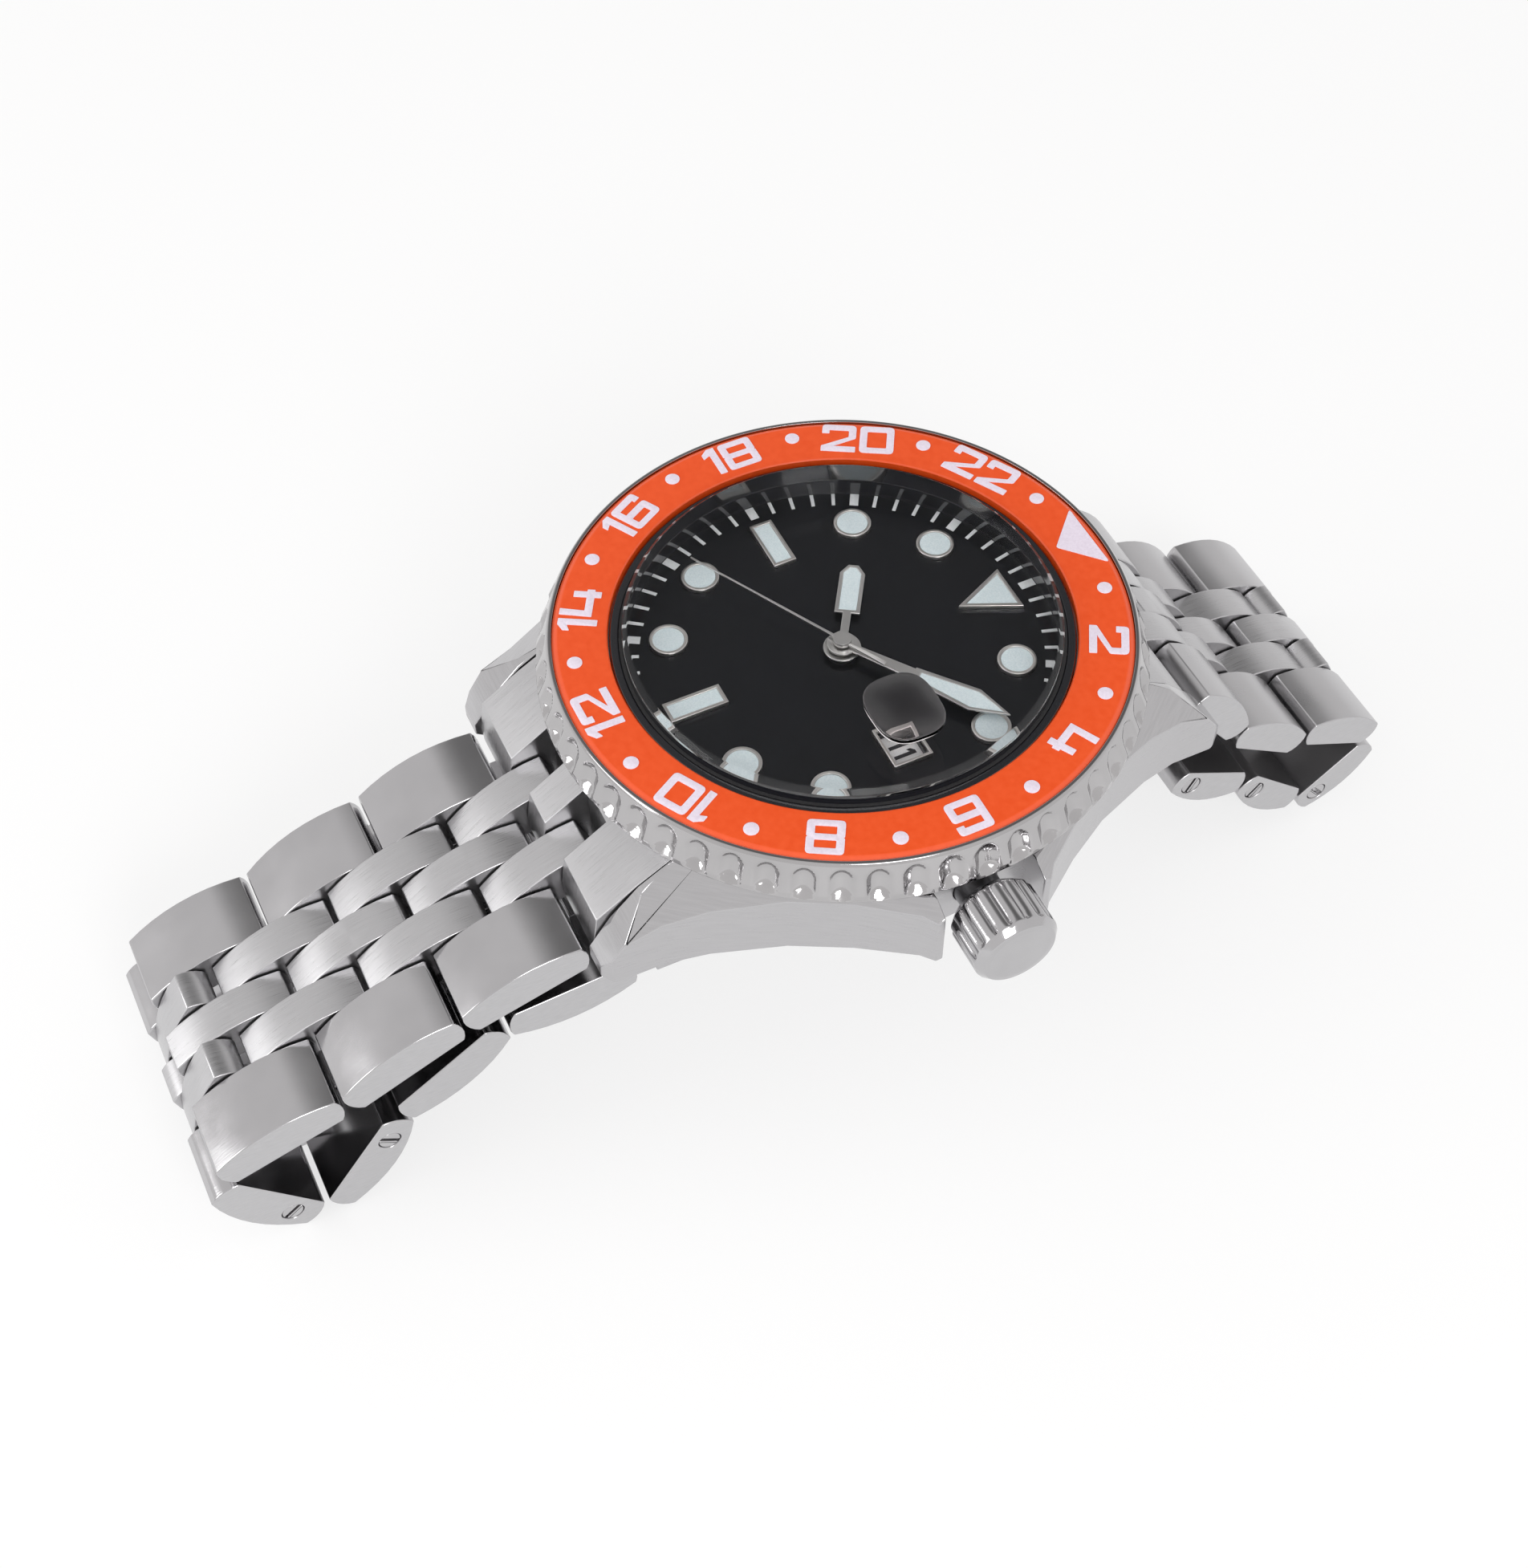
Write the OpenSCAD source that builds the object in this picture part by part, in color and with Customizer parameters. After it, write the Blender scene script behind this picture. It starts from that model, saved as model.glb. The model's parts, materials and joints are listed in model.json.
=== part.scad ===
// Dive watch with a turning 24-hour bezel, three hands, a date and a five-row steel bracelet.
// Frame: +X towards the crown (3 o'clock), +Y towards 12 o'clock, +Z out of the dial.
// The origin is on the outer face of the closed clasp, straight under the dial's axis.

/* [Case] */
// Height of the bezel insert's top above the clasp's outer face
insert_top = 16.9; // [16:0.1:20]
// Radius of the case flank between the lugs
case_r = 19.4; // [18:0.1:23]
// Height of the case band, from the bezel seat down to the case back
case_h = 6.4; // [5.6:0.1:8]
// Distance between the lugs, the strap width
lug_gap = 20; // [16:0.5:22]
// Distance from the dial's axis to the lug tips
lug_reach = 22.8; // [21:0.1:28]
// Thickness of each lug across the tip
lug_w = 2.4; // [1.8:0.1:4]
// Depth of the lug tips below the bezel insert's top
lug_drop = 8.4; // [7:0.1:9]
// Bore of the case that holds the movement
case_bore_r = 14.65; // [13.6:0.05:16]
// Wall of the neck that carries the bezel
neck_wall = 0.6; // [0.4:0.05:1]
// Thickness of the screwed case back
case_back_h = 2.4; // [1.6:0.1:3]

/* [Bezel] */
// Outer radius of the bezel ring
bezel_r = 20.2; // [18:0.1:25]
// Height of the bezel ring
bezel_h = 3; // [2.4:0.1:4]
// Outer radius of the coloured insert
insert_r = 19; // [17.5:0.1:24]
// Thickness of the coloured insert
insert_h = 0.8; // [0.4:0.1:1.2]
// Number of finger scallops round the bezel
scallops = 54; // [24:2:72]
// Radius of one finger scallop
scallop_r = 0.62; // [0.3:0.02:1]
// Radial height of the numerals
numeral_h = 2.6; // [1.6:0.1:3]
// Width of the numerals' strokes
numeral_stroke = 0.55; // [0.3:0.05:0.8]

/* [Crystal and dial] */
// Thickness of the crystal
crystal_h = 2.6; // [1.5:0.1:3]
// Height of the crystal's face above the bezel insert
crystal_rise = 0.7; // [0.2:0.1:1.2]
// Width of the gasket round the crystal
gasket_w = 0.25; // [0.15:0.05:0.4]
// Depth of the dial below the bezel insert's top
dial_drop = 3.4; // [3:0.1:4]
// Thickness of the dial
dial_h = 0.4; // [0.3:0.05:0.6]
// Radius of the circle that the round hour markers stand on
marker_ring_r = 11.45; // [9:0.05:12]
// Outer radius of a round hour marker
marker_r = 1.3; // [0.8:0.05:1.6]
// Width of the metal frame round each marker
marker_frame = 0.24; // [0.15:0.01:0.35]
// Distance from the dial's axis to the date window's centre
date_x = 8.6; // [7.5:0.1:9.2]

/* [Hands] */
// Length of the hour hand
hour_len = 7.3; // [5:0.1:9]
// Length of the minute hand
minute_len = 12.3; // [9:0.1:12.5]
// Length of the seconds hand
second_len = 12.5; // [9:0.1:13]
// Angle of the hour hand, clockwise from 12
hour_at = 302.7; // [0:0.1:360]
// Angle of the minute hand, clockwise from 12
minute_at = 55.3; // [0:0.1:360]
// Angle of the seconds hand, clockwise from 12
second_at = 241.8; // [0:0.1:360]

/* [Crown] */
// Radius of the crown
crown_r = 2.9; // [2.5:0.1:4]
// Length of the crown
crown_len = 4.2; // [3:0.1:5.5]
// Depth of the crown's axis below the bezel insert's top
crown_drop = 5.4; // [5:0.1:5.8]
// Radius of the winding stem
stem_r = 0.5; // [0.35:0.05:0.8]
// Number of flutes round the crown
crown_flutes = 16; // [12:1:36]

/* [Bracelet] */
// Gap between neighbouring columns of links
column_gap = 0.1; // [0.05:0.01:0.2]
// Width of the two narrow inner columns
narrow_w = 2.9; // [2:0.1:3.2]
// Width of the centre column
centre_w = 2.8; // [2:0.1:3.4]
// Distance between hinge pins on the 6 o'clock side
pitch_6 = 4.65; // [4.5:0.05:4.8]
// Distance between hinge pins on the 12 o'clock side
pitch_12 = 3.6; // [3.5:0.05:3.7]
// Thickness of the links on the 6 o'clock side
link_h_6 = 3.2; // [2.8:0.05:3.4]
// Thickness of the links on the 12 o'clock side
link_h_12 = 2.8; // [2.4:0.05:2.9]
// Radius of the hinge pins
pin_r = 0.5; // [0.4:0.01:0.6]
// Radius of the spring bars' bodies
spring_bar_r = 0.75; // [0.5:0.05:0.9]

/* [Clasp] */
// Width of the clasp's cover
clasp_w = 17.8; // [16:0.1:18]
// Thickness of the cover's plate
cover_h = 1; // [0.8:0.1:1.2]
// Thickness of the folding blades
blade_h = 0.7; // [0.5:0.05:0.8]
// Width of the folding blades
blade_w = 13; // [10:0.1:14]

/* [Fits] */
// Radial clearance of a running fit
run_gap = 0.06; // [0.03:0.01:0.09]
// Gap between parts that pass each other
pass_gap = 0.15; // [0.1:0.01:0.25]
// Gap round a part that sits still in its seat
seat_gap = 0.03; // [0.01:0.01:0.05]

/* [Hidden] */
$fn = 96;
eps = 0.01;

steel = [0.72, 0.73, 0.75];
dark_steel = [0.5, 0.51, 0.53];
black = [0.03, 0.03, 0.04];
orange = [0.94, 0.34, 0.10];
white = [0.93, 0.9, 0.94];

// Levels, from the top down
crystal_top = insert_top + crystal_rise;
crystal_bottom = crystal_top - crystal_h;
dial_top = insert_top - dial_drop;
dial_bottom = dial_top - dial_h;
bezel_bottom = insert_top - bezel_h;
case_top = bezel_bottom - pass_gap;
case_bottom = case_top - case_h;
back_bottom = case_bottom - case_back_h;
crown_z = insert_top - crown_drop;
lug_tip_z = insert_top - lug_drop;

// Radii of the crystal's seat, from the outside in
neck_r = case_bore_r + neck_wall;
crystal_r = case_bore_r - gasket_w;
neck_top = insert_top - insert_h / 2;
bezel_bore_r = neck_r + run_gap;
click_r = [neck_r + 0.4, neck_r + 0.9];
insert_bore_r = bezel_bore_r + seat_gap;
dial_r = case_bore_r - seat_gap;

// The case's flank: a slanted plane over each lug falls to a ridge
band_r = case_r - 2.8;
lug_in = lug_gap / 2;
lug_out = lug_in + lug_w;
ridge_tip = [lug_out, -lug_reach + 0.8, insert_top - 7.4];
ridge_mid = [case_r * 0.804, -case_r * 0.593, insert_top - 4.3];
ridge_top = [lug_in, -16.8, insert_top - 3.5];
ridge_normal = cross(ridge_mid - ridge_tip, ridge_top - ridge_tip);
guard_x = case_r + 1.9;
guard_y = crown_r + 0.55;

// The crown
crown_x = bezel_r + 0.2;
crown_recess = 2.6;
tube_r = 1.5;

// The bracelet's columns
half_w = (centre_w + 2 * narrow_w + 4 * column_gap) / 2;
bracelet_half = lug_in - column_gap;
hole_r = pin_r + run_gap;

// The bracelet's route at rest: the first pin of each side, then each half link's heading in YZ
start_6 = [-20.7, insert_top - 9.2];
heading_6 = [203, 196, 200, 204, 199, 197, 254, 308, 362, 414, 406, 394, 380, 364];
start_12 = [20.4, insert_top - 8.6];
heading_12 = [-26, -52, -48, -33, -16, -26, -86, -141, -198, -222, -218, -208];
rows_6 = 7;
rows_12 = 6;

function step(h, a) = [h * cos(a), h * sin(a)];
function pin_at(start, pitch, heading, i) =
    i == 0 ? start : pin_at(start, pitch, heading, i - 1) + step(pitch, heading[i - 1]);
function pin_6(i) = pin_at(start_6, pitch_6, heading_6, i);
function pin_12(i) = pin_at(start_12, pitch_12, heading_12, i);

// The clasp's levels and hinges
end_6 = pin_6(2 * rows_6);
end_12 = pin_12(2 * rows_12);
knuckle_r = 0.85;
hinge_pin_r = 0.4;
cover_y = [end_6[0] + pitch_6 * 0.85, end_12[0] - pitch_12 * 0.75];
// Hinge b clears the cover's plate, the inner blade clears hinge b, and hinge a lies between the blades
hinge_b = [cover_y[1] - 2, cover_h + pass_gap + knuckle_r];
inner_z = hinge_b[1] + knuckle_r + pass_gap;
hinge_a = [cover_y[0] + 2.4, (hinge_b[1] + inner_z + blade_h / 2) / 2];
middle_z = hinge_b[1] - blade_h / 2;
// Half width of hinge a's middle knuckle
knuckle_in = 3;

// ---------------------------------------------------------------- shared shapes

module ring(r_out, r_in, z0, z1) {
    translate([0, 0, z0]) difference() {
        cylinder(r = r_out, h = z1 - z0);
        translate([0, 0, -1]) cylinder(r = r_in, h = z1 - z0 + 2);
    }
}

// A cylinder along X between two x values, centred on a point of the YZ plane
module rod_x(r, x0, x1, yz) {
    translate([x0, yz[0], yz[1]]) rotate([0, 90, 0]) cylinder(r = r, h = x1 - x0);
}

// A YZ outline drawn out along X between two x values
module plate_x(points, x0, x1) {
    translate([x0, 0, 0]) rotate([90, 0, 90]) linear_extrude(x1 - x0) polygon(points);
}

// Turns a child clockwise from 12 o'clock, as a clock hand goes
module clockwise(angle) {
    rotate([0, 0, -angle]) children();
}

// ---------------------------------------------------------------- case

// One side's outline from the 6 o'clock lug to the 12 o'clock lug
function flank(s, guard) = [
    [s * lug_in, -lug_reach],
    [s * (lug_out - 0.5), -lug_reach],
    [s * lug_out, -lug_reach + 0.6],
    [s * (lug_out + 0.35), -lug_reach + 4],
    [s * case_r * 0.7, -case_r * 0.825],
    [s * case_r * 0.804, -case_r * 0.593],
    each guard ? [
        [s * case_r * 0.92, -case_r * 0.41],
        [s * (guard_x - 0.9), -guard_y - 1.2],
        [s * guard_x, -guard_y - 0.5],
        [s * guard_x, -guard_y],
    ] : [for (a = [-26 : 6.5 : -1]) [s * case_r * cos(a), case_r * sin(a)]],
];

function mirrored(points) = [for (i = [len(points) - 1 : -1 : 0]) [points[i][0], -points[i][1]]];

module case_outline() {
    difference() {
        union() {
            polygon(concat(flank(1, true), mirrored(flank(1, true))));
            polygon(concat(flank(-1, false), mirrored(flank(-1, false))));
        }
        // The crown stands between its guards
        translate([case_r - 0.6, -guard_y]) square([5, 2 * guard_y]);
    }
}

// Seen from the side: the lugs bend down and the lower edge rises towards the middle
module case_side() {
    half = [
        [0, case_top], [15, case_top], [16.8, case_top - 0.45], [19.2, case_top - 1.9],
        [21.2, case_top - 3.9], [22.3, lug_tip_z - 0.2], [lug_reach, lug_tip_z - 0.9],
        [lug_reach, lug_tip_z - 1.9], [lug_reach - 0.8, lug_tip_z - 2.5], [11.5, insert_top - 9.2],
        [0, insert_top - 7.6],
    ];
    translate([-30, 0, 0]) rotate([90, 0, 90]) linear_extrude(60)
        polygon(concat(half, [for (i = [len(half) - 2 : -1 : 1]) [-half[i][0], half[i][1]]]));
}

// The half space above a slanted plane through ridge_tip
module bevel_cut(sx, sy) {
    n = ridge_normal;
    mirror([sx < 0 ? 1 : 0, 0, 0]) mirror([0, sy > 0 ? 1 : 0, 0])
        translate(ridge_tip) rotate([0, acos(n[2] / norm(n)), atan2(n[1], n[0])])
            translate([-40, -12, 0]) cube([80, 40, 20]);
}

module mid_case() {
    color(steel) difference() {
        union() {
            intersection() {
                translate([0, 0, back_bottom]) linear_extrude(insert_top - back_bottom) case_outline();
                difference() {
                    case_side();
                    for (sx = [-1, 1], sy = [-1, 1]) intersection() {
                        bevel_cut(sx, sy);
                        translate([sx > 0 ? 0 : -30, sy > 0 ? 0 : -30, 0]) cube(30);
                    }
                }
            }
            translate([0, 0, case_bottom]) cylinder(r = band_r, h = case_h);
            cylinder_neck();
        }
        // The movement's bore, the case back's thread and its gasket's groove
        translate([0, 0, case_bottom - 1]) cylinder(r = case_bore_r, h = neck_top - case_bottom + 2);
        ring(click_r[1] + seat_gap, click_r[0] - seat_gap, case_top - 0.3, case_top + 1);
        // The crown tube's bore
        rod_x_crown(tube_r + seat_gap, case_bore_r - 1, case_r + 5);
        // Blind holes for the spring bars' tips
        for (s = [-1, 1]) rod_x(0.5, -lug_in - 1.4, lug_in + 1.4, bar_at(s));
    }
}

module cylinder_neck() {
    translate([0, 0, case_top - 1]) cylinder(r = neck_r, h = neck_top - case_top + 1);
}

module rod_x_crown(r, x0, x1) {
    rod_x(r, x0, x1, [0, crown_z]);
}

module case_back() {
    color(steel) difference() {
        union() {
            translate([0, 0, back_bottom + 0.5]) cylinder(r = band_r - 0.4, h = case_back_h - 0.5 - seat_gap);
            translate([0, 0, back_bottom]) cylinder(r1 = band_r - 1.4, r2 = band_r - 0.4, h = 0.5);
            translate([0, 0, case_bottom - seat_gap - eps]) cylinder(r = case_bore_r - seat_gap, h = 1.2);
        }
        translate([0, 0, case_bottom - 0.6]) cylinder(r = case_bore_r - 1.2, h = 3);
        // Key notches for the case back wrench
        for (i = [0 : 5]) rotate([0, 0, 60 * i + 30])
            translate([band_r - 2.1, -1, back_bottom - 1]) cube([4, 2, 1.8]);
        ring(case_bore_r + 1, case_bore_r + 0.2, case_bottom - 0.5, case_bottom + 0.1);
    }
}

module case_back_gasket() {
    color(black) ring(case_bore_r + 1 - seat_gap, case_bore_r + 0.2 + seat_gap,
        case_bottom - 0.5 + seat_gap, case_bottom - seat_gap);
}

// ---------------------------------------------------------------- bezel

module bezel_ring() {
    color(steel) difference() {
        rotate_extrude($fn = 120) polygon([
            [bezel_bore_r, bezel_bottom], [bezel_r - 0.3, bezel_bottom], [bezel_r, bezel_bottom + 0.3],
            [bezel_r, bezel_bottom + 0.8], [insert_r + 0.35, insert_top - 0.2],
            [insert_r + 0.2, insert_top - 0.05], [insert_r + seat_gap, insert_top - 0.05],
            [insert_r + seat_gap, insert_top - insert_h], [bezel_bore_r, insert_top - insert_h],
        ]);
        for (i = [0 : scallops - 1]) rotate([0, 0, 360 * i / scallops])
            translate([bezel_r + scallop_r * 0.35, 0, bezel_bottom + 0.4])
                cylinder(r = scallop_r, h = bezel_h, $fn = 24);
    }
}

module bezel_insert() {
    color(orange) ring(insert_r, insert_bore_r, insert_top - insert_h, insert_top);
}

// A square-cornered digit from seven bars, lit as on a segment display
function bars_of(d) = [
    [1, 1, 1, 0, 1, 1, 1], [0, 0, 1, 0, 0, 1, 0], [1, 0, 1, 1, 1, 0, 1], [1, 0, 1, 1, 0, 1, 1],
    [0, 1, 1, 1, 0, 1, 0], [1, 1, 0, 1, 0, 1, 1], [1, 1, 0, 1, 1, 1, 1], [1, 0, 1, 0, 0, 1, 0],
    [1, 1, 1, 1, 1, 1, 1], [1, 1, 1, 1, 0, 1, 1],
][d];
numeral_w = numeral_h * 0.92;
numeral_gap = numeral_h * 0.1;

module digit(d) {
    t = numeral_stroke;
    w = d == 1 ? t : numeral_w;
    h = numeral_h;
    lit = bars_of(d);
    if (lit[0] == 1) translate([-w / 2, h / 2 - t]) square([w, t]);
    if (lit[1] == 1) translate([-w / 2, 0]) square([t, h / 2]);
    if (lit[2] == 1) translate([w / 2 - t, 0]) square([t, h / 2]);
    if (lit[3] == 1) translate([-w / 2, -t / 2]) square([w, t]);
    if (lit[4] == 1) translate([-w / 2, -h / 2]) square([t, h / 2 + t / 4]);
    if (lit[5] == 1) translate([w / 2 - t, -h / 2]) square([t, h / 2 + t / 4]);
    if (lit[6] == 1) translate([-w / 2, -h / 2]) square([w, t]);
}

module number_2d(n) {
    tens = floor(n / 10);
    if (tens == 0) digit(n % 10);
    else {
        tens_w = tens == 1 ? numeral_stroke : numeral_w;
        translate([-(numeral_w + numeral_gap) / 2, 0]) digit(tens);
        translate([(tens_w + numeral_gap) / 2, 0]) digit(n % 10);
    }
}

numeral_ring_r = (insert_r + insert_bore_r) / 2 + 0.15;
numeral_proud = 0.06;

module bezel_numerals() {
    color(white) translate([0, 0, insert_top]) linear_extrude(numeral_proud) {
        for (n = [2 : 2 : 22]) clockwise(15 * n) translate([0, numeral_ring_r]) number_2d(n);
        for (n = [1 : 2 : 23]) clockwise(15 * n) translate([0, numeral_ring_r + 0.3]) circle(r = 0.5);
        polygon([[-2.7, insert_r - 0.5], [2.7, insert_r - 0.5], [0, insert_bore_r + 0.6]]);
    }
}

module bezel_click_spring() {
    color(steel) ring(click_r[1], click_r[0], case_top - 0.25, case_top - 0.02);
}

// ---------------------------------------------------------------- crystal and dial

module crystal() {
    color([0.85, 0.9, 0.95, 0.3]) rotate_extrude() polygon([
        [0, crystal_bottom], [crystal_r, crystal_bottom], [crystal_r, crystal_top - 0.45],
        [crystal_r - 0.45, crystal_top], [0, crystal_top],
    ]);
}

module date_magnifier() {
    color([0.9, 0.85, 0.88, 0.4]) translate([date_x, 0, crystal_top]) intersection() {
        translate([0, 0, -4.4]) sphere(r = 5.2);
        translate([-2.9, -2.3, seat_gap]) cube([5.8, 4.6, 2]);
    }
}

module crystal_gasket() {
    color(black) ring(case_bore_r - seat_gap / 3, crystal_r + seat_gap / 3, crystal_bottom, neck_top);
}

module rehaut_ring() {
    color(black) rotate_extrude() polygon([
        [dial_r, dial_top], [dial_r, crystal_bottom], [dial_r - 0.15, crystal_bottom],
        [dial_r - 0.2, dial_top],
    ]);
}

module dial() {
    color(black) difference() {
        translate([0, 0, dial_bottom]) cylinder(r = dial_r, h = dial_h);
        translate([0, 0, dial_bottom - 1]) cylinder(r = 1, h = 3);
        translate([date_x - 1.3, -1.05, dial_bottom - 1]) cube([2.6, 2.1, 3]);
    }
}

round_hours = [1, 2, 4, 5, 7, 8, 10, 11];
bar_hours = [6, 9];
bar_len = 4.05;
bar_w = 1.66;
bar_r = 10.57;
triangle_tip_r = 8.64;
triangle_base_r = 12.6;
triangle_half = 1.85;

module marker_shape(inset) {
    for (h = round_hours) clockwise(30 * h) translate([0, marker_ring_r]) circle(r = marker_r - inset);
    for (h = bar_hours) clockwise(30 * h) translate([-bar_w / 2 + inset, bar_r - bar_len / 2 + inset])
        square([bar_w - 2 * inset, bar_len - 2 * inset]);
    polygon([
        [-triangle_half + 1.7 * inset, triangle_base_r - inset],
        [triangle_half - 1.7 * inset, triangle_base_r - inset],
        [0, triangle_tip_r + 2.4 * inset],
    ]);
}

module dial_markers() {
    color(steel) translate([0, 0, dial_top]) linear_extrude(0.35) {
        difference() {
            marker_shape(0);
            marker_shape(marker_frame);
        }
        // The date window's frame
        difference() {
            translate([date_x - 1.66, -1.37]) square([3.32, 2.74]);
            translate([date_x - 1.45, -1.16]) square([2.9, 2.32]);
        }
    }
}

module dial_lume() {
    color(white) translate([0, 0, dial_top]) linear_extrude(0.28) marker_shape(marker_frame + seat_gap / 2);
}

module dial_printing() {
    color(white) translate([0, 0, dial_top]) linear_extrude(0.05) for (m = [0 : 59]) clockwise(6 * m) {
        w = m % 5 == 0 ? 0.6 : 0.24;
        translate([-w / 2, dial_r - 1.3]) square([w, 1.06]);
    }
}

date_disc_r = 10.4;

module date_disc() {
    color(white) {
        ring(date_disc_r, 6.6, dial_bottom - 0.3, dial_bottom - 0.1);
        translate([0, 0, dial_bottom - 0.1 - eps]) linear_extrude(0.05 + eps) for (s = [-0.42, 0.42])
            translate([date_x + s, -0.75]) square([0.24, 1.5]);
    }
}

// ---------------------------------------------------------------- hands

hand_h = 0.16;
hour_z = dial_top + 0.42;
minute_z = hour_z + hand_h + 0.2;
second_z = minute_z + hand_h + 0.2;
hour_pipe_r = 0.9;
minute_pipe_r = 0.6;
second_pipe_r = 0.3;
pipe_bottom = dial_bottom - 0.35;
arbor_depth = 1.2;

function hour_outline(inset) = [
    [-0.85 + inset, 3 + inset], [0.85 - inset, 3 + inset], [0.85 - inset, hour_len - 0.75],
    [0.35 - inset / 2, hour_len - inset], [-0.35 + inset / 2, hour_len - inset],
    [-0.85 + inset, hour_len - 0.75],
];
function minute_outline(inset) = [
    [-0.55 + inset, 5.2 + 2 * inset], [0.55 - inset, 5.2 + 2 * inset], [0.95 - inset, minute_len - 2.6],
    [0, minute_len - 2 * inset], [-0.95 + inset, minute_len - 2.6],
];

module hour_hand() {
    color(steel) clockwise(hour_at) {
        translate([0, 0, hour_z]) linear_extrude(hand_h) difference() {
            union() {
                circle(r = 1.25);
                translate([-0.28, 0]) square([0.56, 3.2]);
                polygon(hour_outline(0));
            }
            polygon(hour_outline(0.25));
            circle(r = minute_pipe_r + run_gap);
        }
        ring(hour_pipe_r, minute_pipe_r + run_gap, pipe_bottom, hour_z + eps);
    }
}

module minute_hand() {
    color(steel) clockwise(minute_at) {
        translate([0, 0, minute_z]) linear_extrude(hand_h) difference() {
            union() {
                circle(r = 1);
                polygon([[-0.3, 0], [0.3, 0], [0.45, 5.5], [-0.45, 5.5]]);
                polygon(minute_outline(0));
            }
            polygon(minute_outline(0.25));
            circle(r = second_pipe_r + run_gap);
        }
        ring(minute_pipe_r, second_pipe_r + run_gap, pipe_bottom, minute_z + eps);
    }
}

module seconds_hand() {
    color(steel) clockwise(second_at) {
        translate([0, 0, second_z]) linear_extrude(0.12) polygon([
            [-0.1, 0.3], [-0.16, -3.4], [0.16, -3.4], [0.1, 0.3], [0.05, second_len], [-0.05, second_len],
        ]);
        translate([0, 0, second_z - 0.04]) cylinder(r = 0.62, h = 0.34);
        translate([0, 0, movement_top - arbor_depth])
            cylinder(r = second_pipe_r, h = second_z - movement_top + arbor_depth);
    }
}

module hand_lume_hour() {
    color(white) clockwise(hour_at) translate([0, 0, hour_z + 0.02]) linear_extrude(hand_h - 0.04)
        polygon(hour_outline(0.25 + seat_gap / 2));
}

module hand_lume_minute() {
    color(white) clockwise(minute_at) translate([0, 0, minute_z + 0.02]) linear_extrude(hand_h - 0.04)
        polygon(minute_outline(0.25 + seat_gap / 2));
}

// ---------------------------------------------------------------- movement

movement_r = case_bore_r - 0.25;
movement_top = dial_bottom - 0.4;
movement_h = 4;
movement_bottom = movement_top - movement_h;
balance_at = [5.4, -6.2];
balance_r = 4;
balance_z = movement_bottom + 0.9;

module movement() {
    color([0.78, 0.68, 0.42]) difference() {
        union() {
            translate([0, 0, movement_bottom]) cylinder(r = movement_r, h = movement_h);
            // The rotor's post
            translate([0, 0, movement_bottom - 0.9]) cylinder(r = rotor_post_r, h = 1);
        }
        // The seconds arbor's bearing
        translate([0, 0, movement_top - arbor_depth - 0.1]) cylinder(r = second_pipe_r + run_gap, h = 2);
        // The pit of the balance and its staff's hole
        translate([balance_at[0], balance_at[1], movement_bottom - 1]) cylinder(r = balance_r + 0.4, h = 2.6);
        translate([balance_at[0], balance_at[1], movement_bottom - 1]) cylinder(r = 0.2 + run_gap, h = 3.6);
        // The stem's hole
        rod_x_crown(stem_r + run_gap, 5, 20);
    }
}

module balance_wheel() {
    color([0.85, 0.7, 0.35]) translate([balance_at[0], balance_at[1], 0]) {
        ring(balance_r, balance_r - 0.5, balance_z, balance_z + 0.4);
        for (a = [0, 90]) rotate([0, 0, a]) translate([-balance_r + 0.25, -0.2, balance_z])
            cube([2 * balance_r - 0.5, 0.4, 0.3]);
        translate([0, 0, balance_z - 0.3]) cylinder(r = 0.2, h = 1.9);
    }
}

rotor_r = case_bore_r - 1.6;
rotor_h = 0.5;
rotor_post_r = 1.2;

// A half disc that swings on the movement's post, with three arms to its heavy rim
module rotor() {
    z = movement_bottom - 0.75;
    color(dark_steel) difference() {
        union() {
            translate([0, 0, z]) cylinder(r = 2.4, h = rotor_h);
            intersection() {
                translate([0, 0, z]) cylinder(r = rotor_r, h = rotor_h);
                translate([-20, -20, z]) cube([40, 20, rotor_h]);
            }
        }
        translate([0, 0, z - 1]) cylinder(r = rotor_post_r + run_gap, h = 3);
        for (a = [-57.5, -122.5]) rotate([0, 0, a]) difference() {
            intersection() {
                ring(rotor_r - 2.6, 3.2, z - 1, z + 1);
                translate([0, -20, z - 1]) cube([20, 40, 3]);
            }
            for (b = [-1, 1]) rotate([0, 0, b * 24])
                translate([-20, b > 0 ? 0 : -40, z - 2]) cube([40, 40, 5]);
        }
    }
}

// ---------------------------------------------------------------- crown

module winding_stem() {
    color(steel) rod_x_crown(stem_r, 9, crown_x + crown_recess + 1);
}

module crown() {
    color(steel) difference() {
        union() {
            rod_x_crown(crown_r - 0.35, crown_x, crown_x + crown_len);
            rod_x_crown(crown_r, crown_x + 0.4, crown_x + crown_len - 0.35);
        }
        for (i = [0 : crown_flutes - 1]) translate([0, 0, crown_z]) rotate([360 * i / crown_flutes, 0, 0])
            translate([crown_x - 1, crown_r + 0.1, 0]) rotate([0, 90, 0])
                cylinder(r = 0.28, h = crown_len + 0.4, $fn = 16);
        // The crown covers the end of its tube, and its boss holds the stem
        rod_x_crown(tube_r + pass_gap, crown_x - 1, crown_x + crown_recess);
        rod_x_crown(stem_r + seat_gap, crown_x, crown_x + crown_recess + 1.1);
    }
}

module crown_tube() {
    color(steel) difference() {
        rod_x_crown(tube_r, case_bore_r - 0.1, crown_x + 0.7);
        rod_x_crown(stem_r + run_gap, 0, crown_x + 3);
    }
}

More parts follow.
